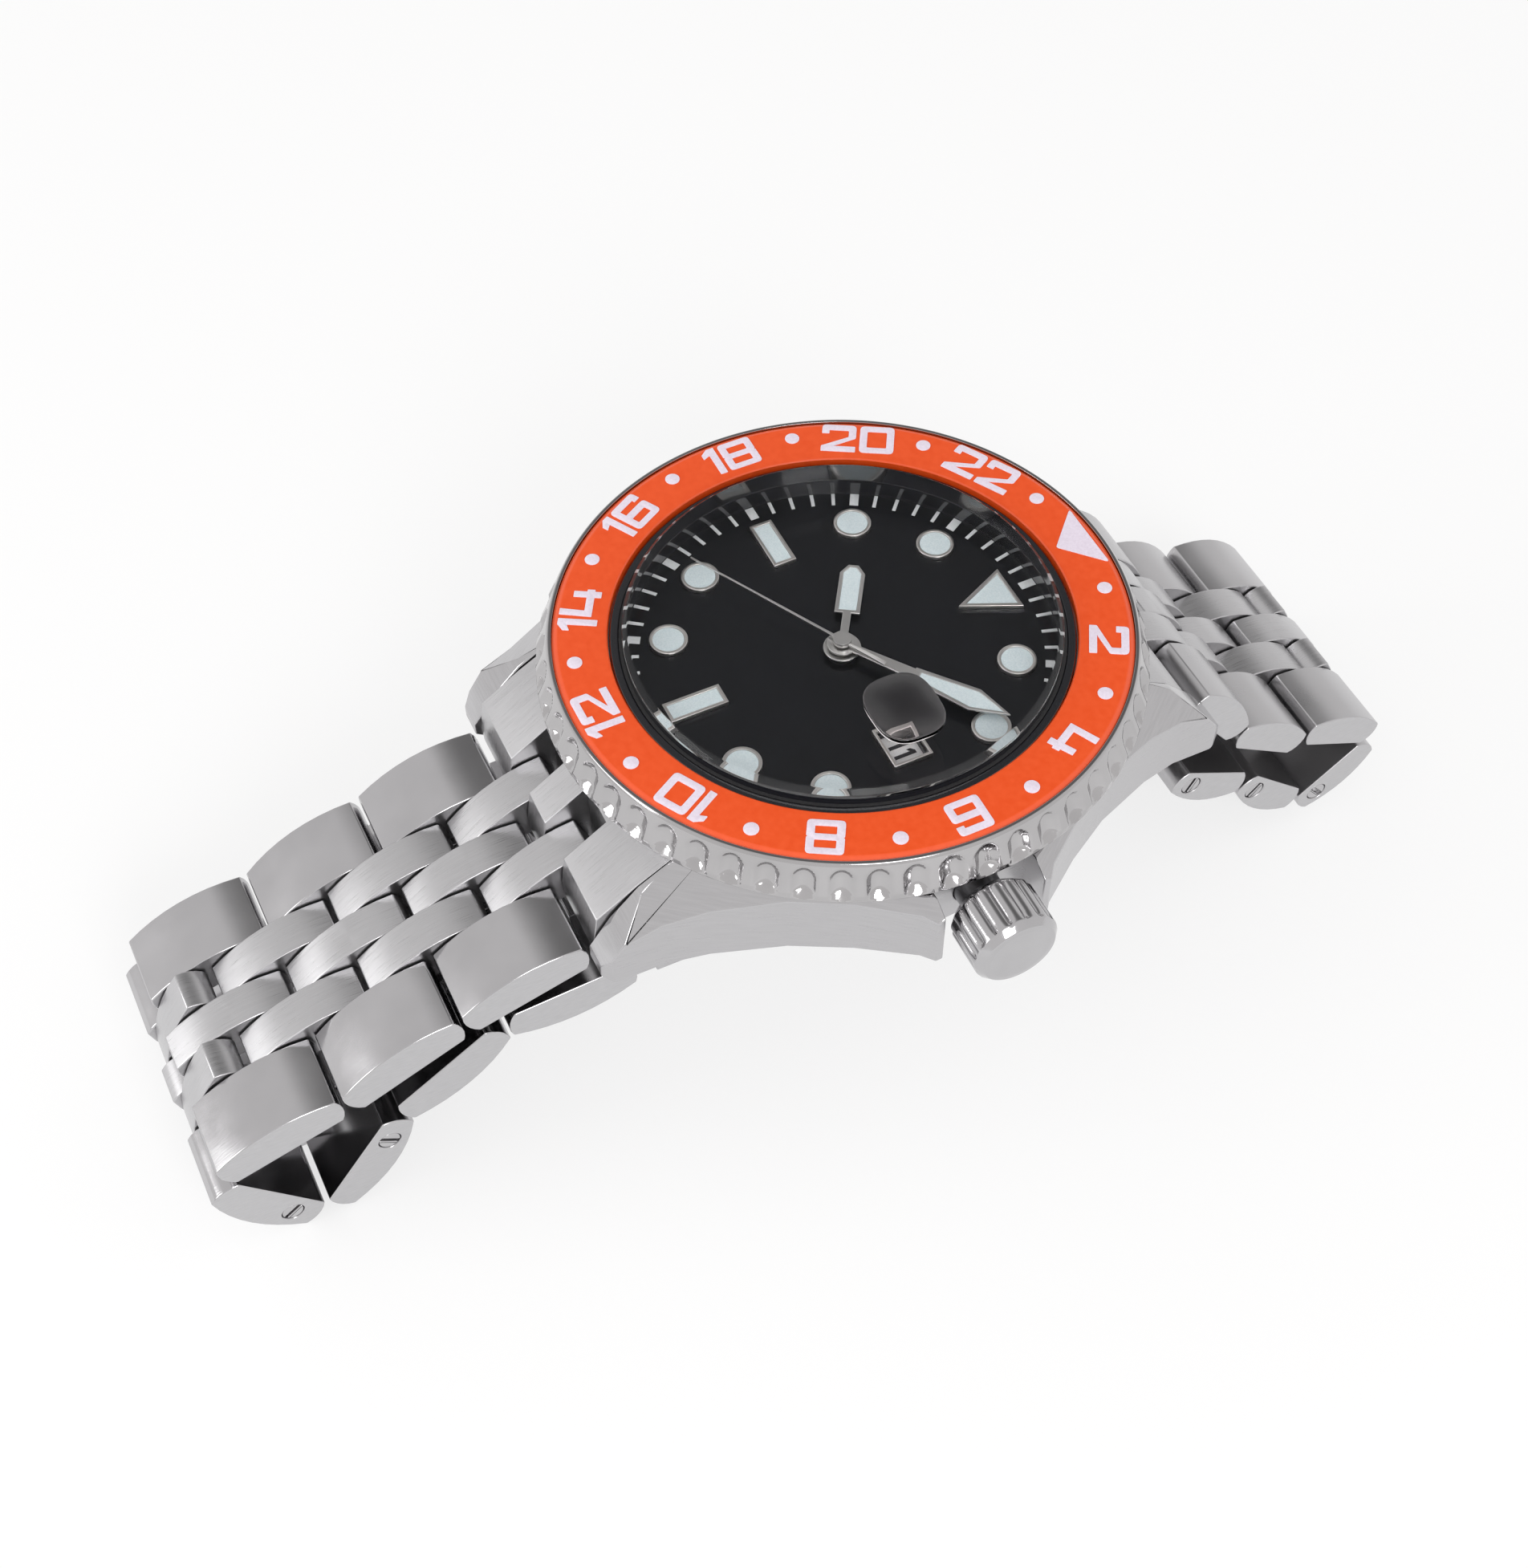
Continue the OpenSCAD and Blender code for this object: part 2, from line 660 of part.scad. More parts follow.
module crown_gasket() {
    color(black) difference() {
        rod_x_crown(tube_r + pass_gap - seat_gap, crown_x + 1.9, crown_x + crown_recess - seat_gap);
        rod_x_crown(stem_r + run_gap, 0, crown_x + 3);
    }
}

// ---------------------------------------------------------------- bracelet

// The spring bars lie behind the first hinge pins, inside the lugs
bar_y = 18;
bar_tip_r = 0.42;
bar_tip_len = 1.2;
function bar_at(s) = [s * bar_y, insert_top - 9.2];

module spring_bars() {
    color(dark_steel) for (s = [-1, 1]) {
        rod_x(spring_bar_r, -lug_in + 0.4, lug_in - 0.4, bar_at(s));
        rod_x(bar_tip_r, -lug_in - bar_tip_len, lug_in + bar_tip_len, bar_at(s));
    }
}

// A link's side outline, with its two hinge pins at u = 0 and u = pitch. w is positive on the
// bracelet's outside. Each end is round about its own pin, so neighbours turn without meeting.
end_gap = 0.12;
function end_arc(pitch, a0, a1) = let (r = pitch / 2 - end_gap)
    [for (i = [0 : 5]) let (a = a0 + (a1 - a0) * i / 5) [r * cos(a), r * sin(a)]];
function link_outline(pitch, h, side) =
    let (
        r = pitch / 2 - end_gap,
        crest = 0.54 * h,
        shoulder = 0.25 * h,
        a_in = asin(0.46 * h / r),
        a_out = asin(shoulder / r),
        half = pitch / 2 + sqrt(r * r - shoulder * shoulder),
        far = [for (p = end_arc(pitch, -a_in, a_out)) [pitch + p[0], p[1]]],
        top = [for (t = [0.75 : -0.25 : -0.75]) [pitch / 2 + half * t, crest - (crest - shoulder) * t * t]],
        near = [for (p = end_arc(pitch, a_out, -a_in)) [-p[0], p[1]]]
    )
    [for (p = concat(far, top, near)) [p[0], side * p[1]]];

// The columns of one row: [x0, x1] of each link
wide_columns = [[-bracelet_half, -half_w], [-centre_w / 2, centre_w / 2], [half_w, bracelet_half]];
narrow_in = centre_w / 2 + column_gap;
narrow_columns = [[-narrow_in - narrow_w, -narrow_in], [narrow_in, narrow_in + narrow_w]];

// Places children with the pin at the origin and the link's length along +Y
module at_link(start, pitch, heading, i) {
    p = pin_at(start, pitch, heading, i);
    translate([0, p[0], p[1]]) rotate([heading[i], 0, 0]) children();
}

// A hinge pin with its ends inside the outer links, or a slotted screw that reaches the flank
screw_head_r = 0.75;
screw_head_len = 0.9;
module hinge_pin(u, screw) {
    reach = bracelet_half - 0.6;
    if (screw) difference() {
        union() {
            rod_x(pin_r, -reach, reach, [u, 0]);
            rod_x(screw_head_r, bracelet_half - screw_head_len, bracelet_half - 0.05, [u, 0]);
        }
        translate([bracelet_half - 0.35, u - 0.12, -1]) cube([1, 0.24, 2]);
    } else rod_x(pin_r, -reach, reach, [u, 0]);
}

module wide_row(start, pitch, heading, h, side, row, screw) {
    color(steel) at_link(start, pitch, heading, 2 * row - 1) {
        difference() {
            for (c = wide_columns) plate_x(link_outline(pitch, h, side), c[0], c[1]);
            for (u = [0, pitch])
                rod_x(pin_r + seat_gap, -bracelet_half + 0.5, bracelet_half - 0.5, [u, 0]);
            if (screw) rod_x(screw_head_r + seat_gap, bracelet_half - screw_head_len - seat_gap,
                bracelet_half + 1, [pitch, 0]);
        }
        hinge_pin(0, false);
        hinge_pin(pitch, screw);
    }
}

// How far the first narrow links reach in past their pins: up to the notches in the end link
notch_y = bar_y + spring_bar_r + 0.25;
function tuck(start, h, slope) =
    (abs(start[0]) - notch_y - pass_gap - 0.46 * h * sin(slope)) / cos(slope);

module narrow_row(start, pitch, heading, h, side, row) {
    cut = pitch - tuck(start, h, side > 0 ? -heading[0] : heading[0] - 180);
    color(dark_steel) at_link(start, pitch, heading, 2 * row - 2) difference() {
        for (c = narrow_columns) plate_x(link_outline(pitch, h, side), c[0], c[1]);
        for (u = [0, pitch]) rod_x(hole_r, -bracelet_half, bracelet_half, [u, 0]);
        // The first links end short of the spring bars
        if (row == 1) translate([-bracelet_half, -pitch, -h]) cube([2 * bracelet_half, cut, 2 * h]);
    }
}

module wide_6(row) {
    wide_row(start_6, pitch_6, heading_6, link_h_6, -1, row, row == 4 || row == 5);
}
module narrow_6(row) {
    narrow_row(start_6, pitch_6, heading_6, link_h_6, -1, row);
}
module wide_12(row) {
    wide_row(start_12, pitch_12, heading_12, link_h_12, 1, row, row >= 4);
}
module narrow_12(row) {
    narrow_row(start_12, pitch_12, heading_12, link_h_12, 1, row);
}

// A solid end link fills the gap between two lugs and takes the first narrow links in two notches
module end_link(s, start, y_end) {
    side = [
        [12, case_top - 0.2], [15, case_top - 0.2], [16.8, case_top - 0.6], [19.2, case_top - 2],
        [y_end - 0.3, case_top - 4], [y_end - 0.1, lug_tip_z - 0.2], [y_end, lug_tip_z - 1],
        [y_end - 0.1, lug_tip_z - 2.6], [y_end - 0.8, lug_tip_z - 3.4], [18, lug_tip_z - 3],
        [12, lug_tip_z - 2.2],
    ];
    color(steel) {
        difference() {
            plate_x([for (p = side) [s * p[0], p[1]]], -bracelet_half, bracelet_half);
            cylinder(r = band_r + pass_gap, h = 2 * insert_top);
            for (c = narrow_columns) translate([c[0] - column_gap, s > 0 ? notch_y : -notch_y - 9, 0])
                cube([c[1] - c[0] + 2 * column_gap, 9, 2 * insert_top]);
            rod_x(spring_bar_r + seat_gap, -lug_in, lug_in, bar_at(s));
            rod_x(pin_r + seat_gap, -bracelet_half + 0.5, bracelet_half - 0.5, start);
        }
        rod_x(pin_r, -bracelet_half + 0.6, bracelet_half - 0.6, start);
    }
}

module end_link_6() {
    end_link(-1, start_6, lug_reach - 0.4);
}
module end_link_12() {
    end_link(1, start_12, lug_reach - 1.5);
}

// ---------------------------------------------------------------- clasp

// The blades stack inside the cover: middle blade over the cover, inner blade on top.
// The inner blade hangs on the 12 o'clock links, folds into the middle blade at hinge a,
// and the middle blade folds into the cover at hinge b.
module blade_plate(y0, y1, z) {
    translate([-blade_w / 2, y0, z]) cube([blade_w, y1 - y0, blade_h]);
}

wall_w = 0.8;
wall_top = hinge_b[1] + 0.7;
wall_y = [cover_y[0] + 0.6, cover_y[1] - 0.6];

module clasp_cover() {
    knuckle_x = blade_w / 2 + pass_gap / 2;
    color(steel) {
        difference() {
            union() {
                translate([-clasp_w / 2, cover_y[0], 0]) cube([clasp_w, cover_y[1] - cover_y[0], cover_h]);
                for (s = [-1, 1]) translate([s > 0 ? clasp_w / 2 - wall_w : -clasp_w / 2, wall_y[0], 0])
                    cube([wall_w, wall_y[1] - wall_y[0], wall_top]);
                // Hinge b's outer knuckles stand on the walls
                rod_x(knuckle_r - 0.05, knuckle_x, clasp_w / 2 - 0.2, hinge_b);
                rod_x(knuckle_r - 0.05, -clasp_w / 2 + 0.2, -knuckle_x, hinge_b);
                // Two tabs reach between the last links of the 6 o'clock side
                for (c = narrow_columns) translate([c[0] + 0.1, end_6[0] + 1.4, 0.4])
                    cube([narrow_w - 0.2, cover_y[0] - end_6[0] - 1.4 + eps, 1.6]);
            }
            rod_x(hinge_pin_r + seat_gap, -clasp_w / 2 - 1, clasp_w / 2 + 1, hinge_b);
            // Adjustment holes for the bracelet's last pin, through both walls
            for (i = [0 : 3]) rod_x(0.5, -clasp_w, clasp_w, [wall_y[0] + 2.5 + 2.5 * i, wall_top - 0.95]);
        }
        rod_x(hinge_pin_r, -clasp_w / 2 + 0.1, clasp_w / 2 - 0.1, hinge_b);
    }
}

module clasp_middle_blade() {
    knuckle_len = blade_w / 2 - knuckle_in;
    color(dark_steel) {
        difference() {
            union() {
                blade_plate(hinge_a[0] + knuckle_r + pass_gap, hinge_b[0], middle_z);
                rod_x(knuckle_r - 0.05, -blade_w / 2, blade_w / 2, hinge_b);
                for (x = [knuckle_in, -blade_w / 2]) {
                    rod_x(knuckle_r, x, x + knuckle_len, hinge_a);
                    translate([x, hinge_a[0], middle_z]) cube([knuckle_len, 2, blade_h]);
                }
            }
            rod_x(hinge_pin_r + run_gap, -blade_w, blade_w, hinge_b);
            rod_x(hinge_pin_r + seat_gap, -blade_w, blade_w, hinge_a);
        }
        rod_x(hinge_pin_r, -blade_w / 2, blade_w / 2, hinge_a);
    }
}

module clasp_inner_blade() {
    half = knuckle_in - pass_gap;
    bend_y = cover_y[1] + 0.3;
    color(dark_steel) difference() {
        union() {
            blade_plate(hinge_a[0] + knuckle_r + pass_gap, bend_y + eps, inner_z);
            rod_x(knuckle_r, -half, half, hinge_a);
            translate([-half, hinge_a[0], inner_z]) cube([2 * half, 2, blade_h]);
            // The end bends down past the cover to the last hinge pin of the 12 o'clock side
            for (c = narrow_columns) {
                plate_x([
                    [bend_y, inner_z + blade_h], [bend_y, inner_z],
                    [end_12[0] - 0.9, end_12[1] - 0.7], [end_12[0] + 0.3, end_12[1] + 0.9],
                ], c[0] + 0.05, c[1] - 0.05);
                rod_x(1.1, c[0] + 0.05, c[1] - 0.05, end_12);
            }
        }
        rod_x(hole_r, -bracelet_half, bracelet_half, end_12);
        rod_x(hinge_pin_r + run_gap, -blade_w, blade_w, hinge_a);
    }
}

// ---------------------------------------------------------------- nodes

mid_case();
case_back();
case_back_gasket();
bezel_ring();
bezel_insert();
bezel_numerals();
bezel_click_spring();
crystal();
date_magnifier();
crystal_gasket();
rehaut_ring();
dial();
dial_markers();
dial_lume();
dial_printing();
date_disc();
hour_hand();
minute_hand();
seconds_hand();
hand_lume_hour();
hand_lume_minute();
movement();
balance_wheel();
rotor();
winding_stem();
crown();
crown_tube();
crown_gasket();
spring_bars();
end_link_6();
end_link_12();
clasp_cover();
clasp_middle_blade();
clasp_inner_blade();
narrow_6(1);  // narrow_6_1
wide_6(1);  // wide_6_1
narrow_6(2);  // narrow_6_2
wide_6(2);  // wide_6_2
narrow_6(3);  // narrow_6_3
wide_6(3);  // wide_6_3
narrow_6(4);  // narrow_6_4
wide_6(4);  // wide_6_4
narrow_6(5);  // narrow_6_5
wide_6(5);  // wide_6_5
narrow_6(6);  // narrow_6_6
wide_6(6);  // wide_6_6
narrow_6(7);  // narrow_6_7
wide_6(7);  // wide_6_7
narrow_12(1);  // narrow_12_1
wide_12(1);  // wide_12_1
narrow_12(2);  // narrow_12_2
wide_12(2);  // wide_12_2
narrow_12(3);  // narrow_12_3
wide_12(3);  // wide_12_3
narrow_12(4);  // narrow_12_4
wide_12(4);  // wide_12_4
narrow_12(5);  // narrow_12_5
wide_12(5);  // wide_12_5
narrow_12(6);  // narrow_12_6
wide_12(6);  // wide_12_6
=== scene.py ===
"""The looks of a dive watch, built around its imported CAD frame.

+X points at the crown, +Y at 12 o'clock and +Z out of the dial. Shapes are drawn in millimetres
and scaled to metres where their mesh is made.
"""

import json
import math

import bmesh
import bpy
from mathutils import Matrix, Vector


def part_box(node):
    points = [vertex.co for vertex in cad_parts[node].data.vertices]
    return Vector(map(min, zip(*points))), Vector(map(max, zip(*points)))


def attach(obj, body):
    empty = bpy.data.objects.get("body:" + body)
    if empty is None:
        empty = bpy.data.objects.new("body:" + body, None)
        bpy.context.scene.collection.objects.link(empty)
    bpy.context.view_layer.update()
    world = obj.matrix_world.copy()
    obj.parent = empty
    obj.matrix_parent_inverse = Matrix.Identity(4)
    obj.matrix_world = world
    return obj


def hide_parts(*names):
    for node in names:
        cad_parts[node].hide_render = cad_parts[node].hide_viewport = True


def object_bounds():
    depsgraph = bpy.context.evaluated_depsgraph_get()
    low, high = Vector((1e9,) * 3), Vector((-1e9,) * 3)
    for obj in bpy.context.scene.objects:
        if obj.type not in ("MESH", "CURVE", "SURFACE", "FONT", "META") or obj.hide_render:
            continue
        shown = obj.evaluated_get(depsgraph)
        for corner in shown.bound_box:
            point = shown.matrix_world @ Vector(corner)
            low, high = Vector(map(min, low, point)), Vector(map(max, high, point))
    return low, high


MM = 0.001
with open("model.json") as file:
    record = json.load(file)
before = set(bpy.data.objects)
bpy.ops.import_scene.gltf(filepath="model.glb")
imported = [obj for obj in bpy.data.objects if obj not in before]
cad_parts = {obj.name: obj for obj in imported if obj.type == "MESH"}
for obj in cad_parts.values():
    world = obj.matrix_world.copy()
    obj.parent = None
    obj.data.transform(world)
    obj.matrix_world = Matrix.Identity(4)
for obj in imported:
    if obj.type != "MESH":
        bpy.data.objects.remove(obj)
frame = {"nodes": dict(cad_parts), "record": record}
cad_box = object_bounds()


def size_of(node):
    """The lowest and highest corners of a CAD node, in millimetres."""
    low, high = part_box(node)
    return low / MM, high / MM


# ---------------------------------------------------------------- driving sizes, in mm

insert_low, insert_high = size_of("bezel_insert")
ring_low, ring_high = size_of("bezel_ring")
crystal_low, crystal_high = size_of("crystal")
crown_low, crown_high = size_of("crown")
lens_low, lens_high = size_of("date_magnifier")

INSERT_TOP = insert_high.z
INSERT_BOTTOM = insert_low.z
INSERT_R = insert_high.x
INSERT_BORE_R = 15.34
RING_R = ring_high.x
RING_BOTTOM = ring_low.z
RING_BORE_R = 15.31
SCALLOPS = 54
NUMERAL_H = 2.6
NUMERAL_STROKE = 0.52
NUMERAL_RING_R = (INSERT_R + INSERT_BORE_R) / 2 + 0.12
DATE_DISC_TOP = size_of("date_disc")[1].z
CROWN_Z = (crown_low.z + crown_high.z) / 2
CROWN_R = (crown_high.z - crown_low.z) / 2
CROWN_FLUTES = 16
TUBE_HOLE_R = 1.65
TUBE_HOLE_DEPTH = 2.6
TRACK_R = (13.32, 14.38)
DATE_X = 8.6
NECK_R = 15.2

# A shell of a wide row that is narrower or wider than these is a pin, and an outer link
# reaches further from the middle than this
LINK_WIDTHS = (1, 8)
OUTER_LINK_X = 4

# An edge of a CAD shape that turns more than this is rounded
CRISP_ANGLE = math.radians(30)


# ---------------------------------------------------------------- materials


class Finish:
    """A Principled material whose variation comes from noise in object coordinates."""

    def __init__(self, name, colour, metallic=0.0, roughness=0.5, **constants):
        self.material = bpy.data.materials.new(name)
        self.material.use_nodes = True
        self.tree = self.material.node_tree
        self.shader = self.tree.nodes["Principled BSDF"]
        self.set(self.shader, "Base Color", (*colour, 1))
        self.set(self.shader, "Metallic", metallic)
        self.set(self.shader, "Roughness", roughness)
        for key, value in constants.items():
            self.set(self.shader, key.replace("_", " "), value)

    @staticmethod
    def set(node, socket, value):
        node.inputs[socket].default_value = value

    def add(self, kind, **properties):
        node = self.tree.nodes.new(kind)
        for key, value in properties.items():
            setattr(node, key, value)
        return node

    def link(self, source, target):
        self.tree.links.new(source, target)

    def coordinate(self, output="Object"):
        return self.add("ShaderNodeTexCoord").outputs[output]

    def noise(self, per_mm, detail=3.0):
        """Noise with so many features to the millimetre along X, Y and Z."""
        mapping = self.add("ShaderNodeMapping")
        self.set(mapping, "Scale", tuple(f / MM for f in per_mm))
        self.link(self.coordinate(), mapping.inputs["Vector"])
        noise = self.add("ShaderNodeTexNoise")
        self.set(noise, "Scale", 1.0)
        self.set(noise, "Detail", detail)
        self.link(mapping.outputs["Vector"], noise.inputs["Vector"])
        return noise.outputs["Fac"]

    def spread(self, source, low, high, from_low=0.3, from_high=0.7):
        """source's middle range, stretched to low..high."""
        node = self.add("ShaderNodeMapRange")
        for socket, value in (
            ("From Min", from_low),
            ("From Max", from_high),
            ("To Min", low),
            ("To Max", high),
        ):
            self.set(node, socket, value)
        self.link(source, node.inputs["Value"])
        return node.outputs["Result"]

    def roughen(self, source, low, high):
        self.link(self.spread(source, low, high), self.shader.inputs["Roughness"])
        return self

    def tint(self, source, dark, light):
        ramp = self.add("ShaderNodeMix", data_type="RGBA")
        ramp.inputs["A"].default_value = (*dark, 1)
        ramp.inputs["B"].default_value = (*light, 1)
        self.link(self.spread(source, 0, 1), ramp.inputs["Factor"])
        self.link(ramp.outputs["Result"], self.shader.inputs["Base Color"])
        return self

    def bump(self, source, depth_mm):
        node = self.add("ShaderNodeBump")
        self.set(node, "Strength", 1.0)
        self.set(node, "Distance", depth_mm * MM)
        self.link(source, node.inputs["Height"])
        self.link(node.outputs["Normal"], self.shader.inputs["Normal"])
        return self

    def blend(self, factor, a, b):
        """a where factor is 0 and b where it is 1."""
        node = self.add("ShaderNodeMix", data_type="FLOAT")
        self.link(factor, node.inputs["Factor"])
        self.link(a, node.inputs["A"])
        self.link(b, node.inputs["B"])
        return node.outputs["Result"]

    def upward(self, low, high):
        """0 on faces that look sideways and 1 on those that look up."""
        split = self.add("ShaderNodeSeparateXYZ")
        self.link(self.coordinate("Normal"), split.inputs["Vector"])
        return self.spread(split.outputs["Z"], 0, 1, low, high)


STEEL = (0.50, 0.493, 0.503)
LIGHT_STEEL = (0.53, 0.525, 0.535)
DARK_STEEL = (0.34, 0.34, 0.35)


def polished(name, colour=STEEL, low=0.05, high=0.13):
    """Mirror steel with the faint haze and hairlines of handling."""
    finish = Finish(name, colour, 1.0, low)
    haze = finish.noise((0.22, 0.22, 0.22), 5)
    finish.roughen(haze, low, high)
    finish.tint(haze, [c * 0.94 for c in colour], [min(1, c * 1.04) for c in colour])
    return finish.bump(finish.noise((9, 1.1, 1.1), 2), 0.0016).material


def brushed(name, across, colour=LIGHT_STEEL, low=0.26, high=0.38, depth=0.002):
    """Steel with grain lines. across holds the lines to the millimetre along X, Y and Z."""
    finish = Finish(name, colour, 1.0, low, Anisotropic=0.35)
    grain = finish.noise(across, 4)
    finish.roughen(grain, low, high)
    finish.tint(grain, [c * 0.93 for c in colour], [min(1, c * 1.05) for c in colour])
    return finish.bump(grain, depth).material


def case_steel():
    """Polished on the slanted upper faces, satin on the flanks."""
    finish = Finish("case_steel", STEEL, 1.0, 0.1)
    grain = finish.noise((0.5, 0.5, 9), 4)
    up = finish.upward(0.25, 0.42)
    satin = finish.spread(grain, 0.26, 0.4)
    mirror = finish.spread(finish.noise((0.2, 0.2, 0.2), 5), 0.07, 0.15)
    finish.link(finish.blend(up, satin, mirror), finish.shader.inputs["Roughness"])
    finish.tint(grain, [c * 0.96 for c in STEEL], [c * 1.04 for c in STEEL])
    flat = finish.add("ShaderNodeValue")
    flat.outputs[0].default_value = 0.5
    relief = finish.blend(up, grain, flat.outputs[0])
    return finish.bump(relief, 0.0015).material


def lacquer(name, dark, light, speckle=(6, 6, 6), roughness=0.35, coat=1.0):
    """Paint under a clear coat, with a fine speckle."""
    finish = Finish(
        name, light, 0.0, roughness, Coat_Weight=coat, Coat_Roughness=0.03, Coat_IOR=1.6
    )
    grain = finish.noise(speckle, 3)
    finish.tint(grain, dark, light)
    finish.roughen(grain, roughness * 0.85, roughness * 1.15)
    return finish.bump(finish.noise((0.8, 0.8, 0.8), 2), 0.0008).material


def dial_lacquer():
    """Glossy black with a faint sunburst brushed under the lacquer."""
    finish = Finish(
        "dial_lacquer", (0.006, 0.007, 0.011), 0.55, 0.3,
        Coat_Weight=0.4, Coat_Roughness=0.05, Coat_IOR=1.4,
    )
    split = finish.add("ShaderNodeSeparateXYZ")
    finish.link(finish.coordinate(), split.inputs["Vector"])
    angle = finish.add("ShaderNodeMath", operation="ARCTAN2")
    finish.link(split.outputs["Y"], angle.inputs[0])
    finish.link(split.outputs["X"], angle.inputs[1])
    rays = finish.add("ShaderNodeTexNoise", noise_dimensions="1D")
    finish.set(rays, "Scale", 55.0)
    finish.set(rays, "Detail", 4.0)
    finish.link(angle.outputs["Value"], rays.inputs["W"])
    finish.roughen(rays.outputs["Fac"], 0.31, 0.33)
    finish.tint(rays.outputs["Fac"], (0.006, 0.007, 0.011), (0.0075, 0.0088, 0.0135))
    return finish.material


def glass(name, tint=(1, 1, 1), ior=1.22):
    """Coated crystal that mirrors little, with the faintest smears."""
    finish = Finish(name, tint, 0.0, 0.0, Transmission_Weight=1.0, IOR=ior)
    return finish.roughen(finish.noise((0.15, 0.15, 0.15), 4), 0.0, 0.012).material


def matt(name, dark, light, roughness, depth=0.004):
    """A plain dull surface with a fine grain."""
    finish = Finish(name, light, 0.0, roughness)
    texture = finish.noise((8, 8, 8), 4)
    finish.tint(texture, dark, light)
    finish.roughen(texture, roughness * 0.85, min(1, roughness * 1.1))
    return finish.bump(texture, depth).material


ALONG_BRACELET = (24, 0.5, 0.5)
POLISHED_LINK = polished("link_mirror", STEEL, 0.1, 0.2)
SOFT_LINK = polished("link_soft_mirror", STEEL, 0.26, 0.34)
BRUSHED_LINK = brushed("link_grain", ALONG_BRACELET)
SATIN_SIDE = brushed("link_side", (0.5, 1.2, 9), LIGHT_STEEL, 0.3, 0.42, 0.003)
PIN_STEEL = polished("pin_mirror", STEEL, 0.12, 0.22)
CASE_STEEL = case_steel()
BEZEL_STEEL = polished("bezel_mirror", (0.46, 0.45, 0.455), 0.06, 0.14)
CROWN_STEEL = polished("crown_mirror", STEEL, 0.07, 0.16)
CLASP_STEEL = brushed("clasp_grain", ALONG_BRACELET, STEEL, 0.26, 0.38)
BLADE_STEEL = brushed("blade_grain", (3, 3, 3), STEEL, 0.2, 0.34, 0.003)
SPRING_STEEL = brushed("spring_grain", (2, 6, 6), DARK_STEEL, 0.3, 0.42)
BACK_STEEL = brushed("back_grain", (7, 0.6, 2), STEEL, 0.22, 0.36)
ORANGE = lacquer("insert_lacquer", (0.81, 0.074, 0.003), (0.85, 0.085, 0.005), (2, 2, 2), coat=0.4)
NUMERAL_PAINT = lacquer("numeral_paint", (0.76, 0.67, 0.78), (0.84, 0.76, 0.87), roughness=0.45)
DIAL_BLACK = dial_lacquer()
# Gloss black for the rehaut ring, also used as painted shade: the case neck and the crystal's
# seated rim are painted black with it for the dark gap round the crystal
REHAUT_AND_SHADE_BLACK = lacquer("rehaut_and_painted_shade_gloss", (0.004, 0.004, 0.007), (0.010, 0.011, 0.016), roughness=0.12)
PRINT_WHITE = matt("dial_print", (0.86, 0.89, 0.91), (0.95, 0.97, 0.98), 0.5)
LUME = matt("lume_fill", (0.74, 0.86, 0.90), (0.86, 0.96, 0.99), 0.65, 0.006)
DATE_WHITE = matt("date_card", (0.78, 0.78, 0.78), (0.86, 0.86, 0.86), 0.55)
DATE_INK = matt("date_ink", (0.01, 0.01, 0.012), (0.03, 0.03, 0.035), 0.5)
RUBBER = matt("gasket_rubber", (0.012, 0.012, 0.013), (0.03, 0.03, 0.032), 0.7, 0.01)
MARKER_METAL = polished("marker_mirror", (0.66, 0.64, 0.62), 0.3, 0.4)
HAND_METAL = polished("hand_mirror", (0.70, 0.69, 0.68), 0.28, 0.38)
CRYSTAL = glass("crystal_glass")
LENS = glass("lens_glass", (1.0, 0.95, 0.965), 1.42)
MOVEMENT = brushed("movement_plate", (2.5, 2.5, 2.5), (0.62, 0.50, 0.27), 0.24, 0.4, 0.01)


# ---------------------------------------------------------------- mesh helpers


def finish_mesh(name, bm, body, materials, replaces=(), sharp=38, weighted=True):
    """Turns a bmesh, in metres, into a piece that rides on a body."""
    bmesh.ops.recalc_face_normals(bm, faces=bm.faces)
    mesh = bpy.data.meshes.new(name)
    bm.to_mesh(mesh)
    bm.free()
    for material in materials:
        mesh.materials.append(material)
    mesh.shade_smooth()
    mesh.set_sharp_from_angle(angle=math.radians(sharp))
    piece = bpy.data.objects.new(name, mesh)
    bpy.context.scene.collection.objects.link(piece)
    if weighted:
        normals = piece.modifiers.new("even_normals", "WEIGHTED_NORMAL")
        normals.keep_sharp = True
    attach(piece, body)
    if replaces:
        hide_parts(*replaces)
    return piece


def body_of(node):
    """The body that a CAD node rides on."""
    return next(b for b, nodes in frame["record"]["behaviour"]["bodies"].items() if node in nodes)


def solids_of(bm):
    """The separate closed shells of a bmesh, each as a list of faces."""
    left, shells = set(bm.faces), []
    while left:
        stack, shell = [left.pop()], []
        while stack:
            face = stack.pop()
            shell.append(face)
            for edge in face.edges:
                for other in edge.link_faces:
                    if other in left:
                        left.remove(other)
                        stack.append(other)
        shells.append(shell)
    return shells


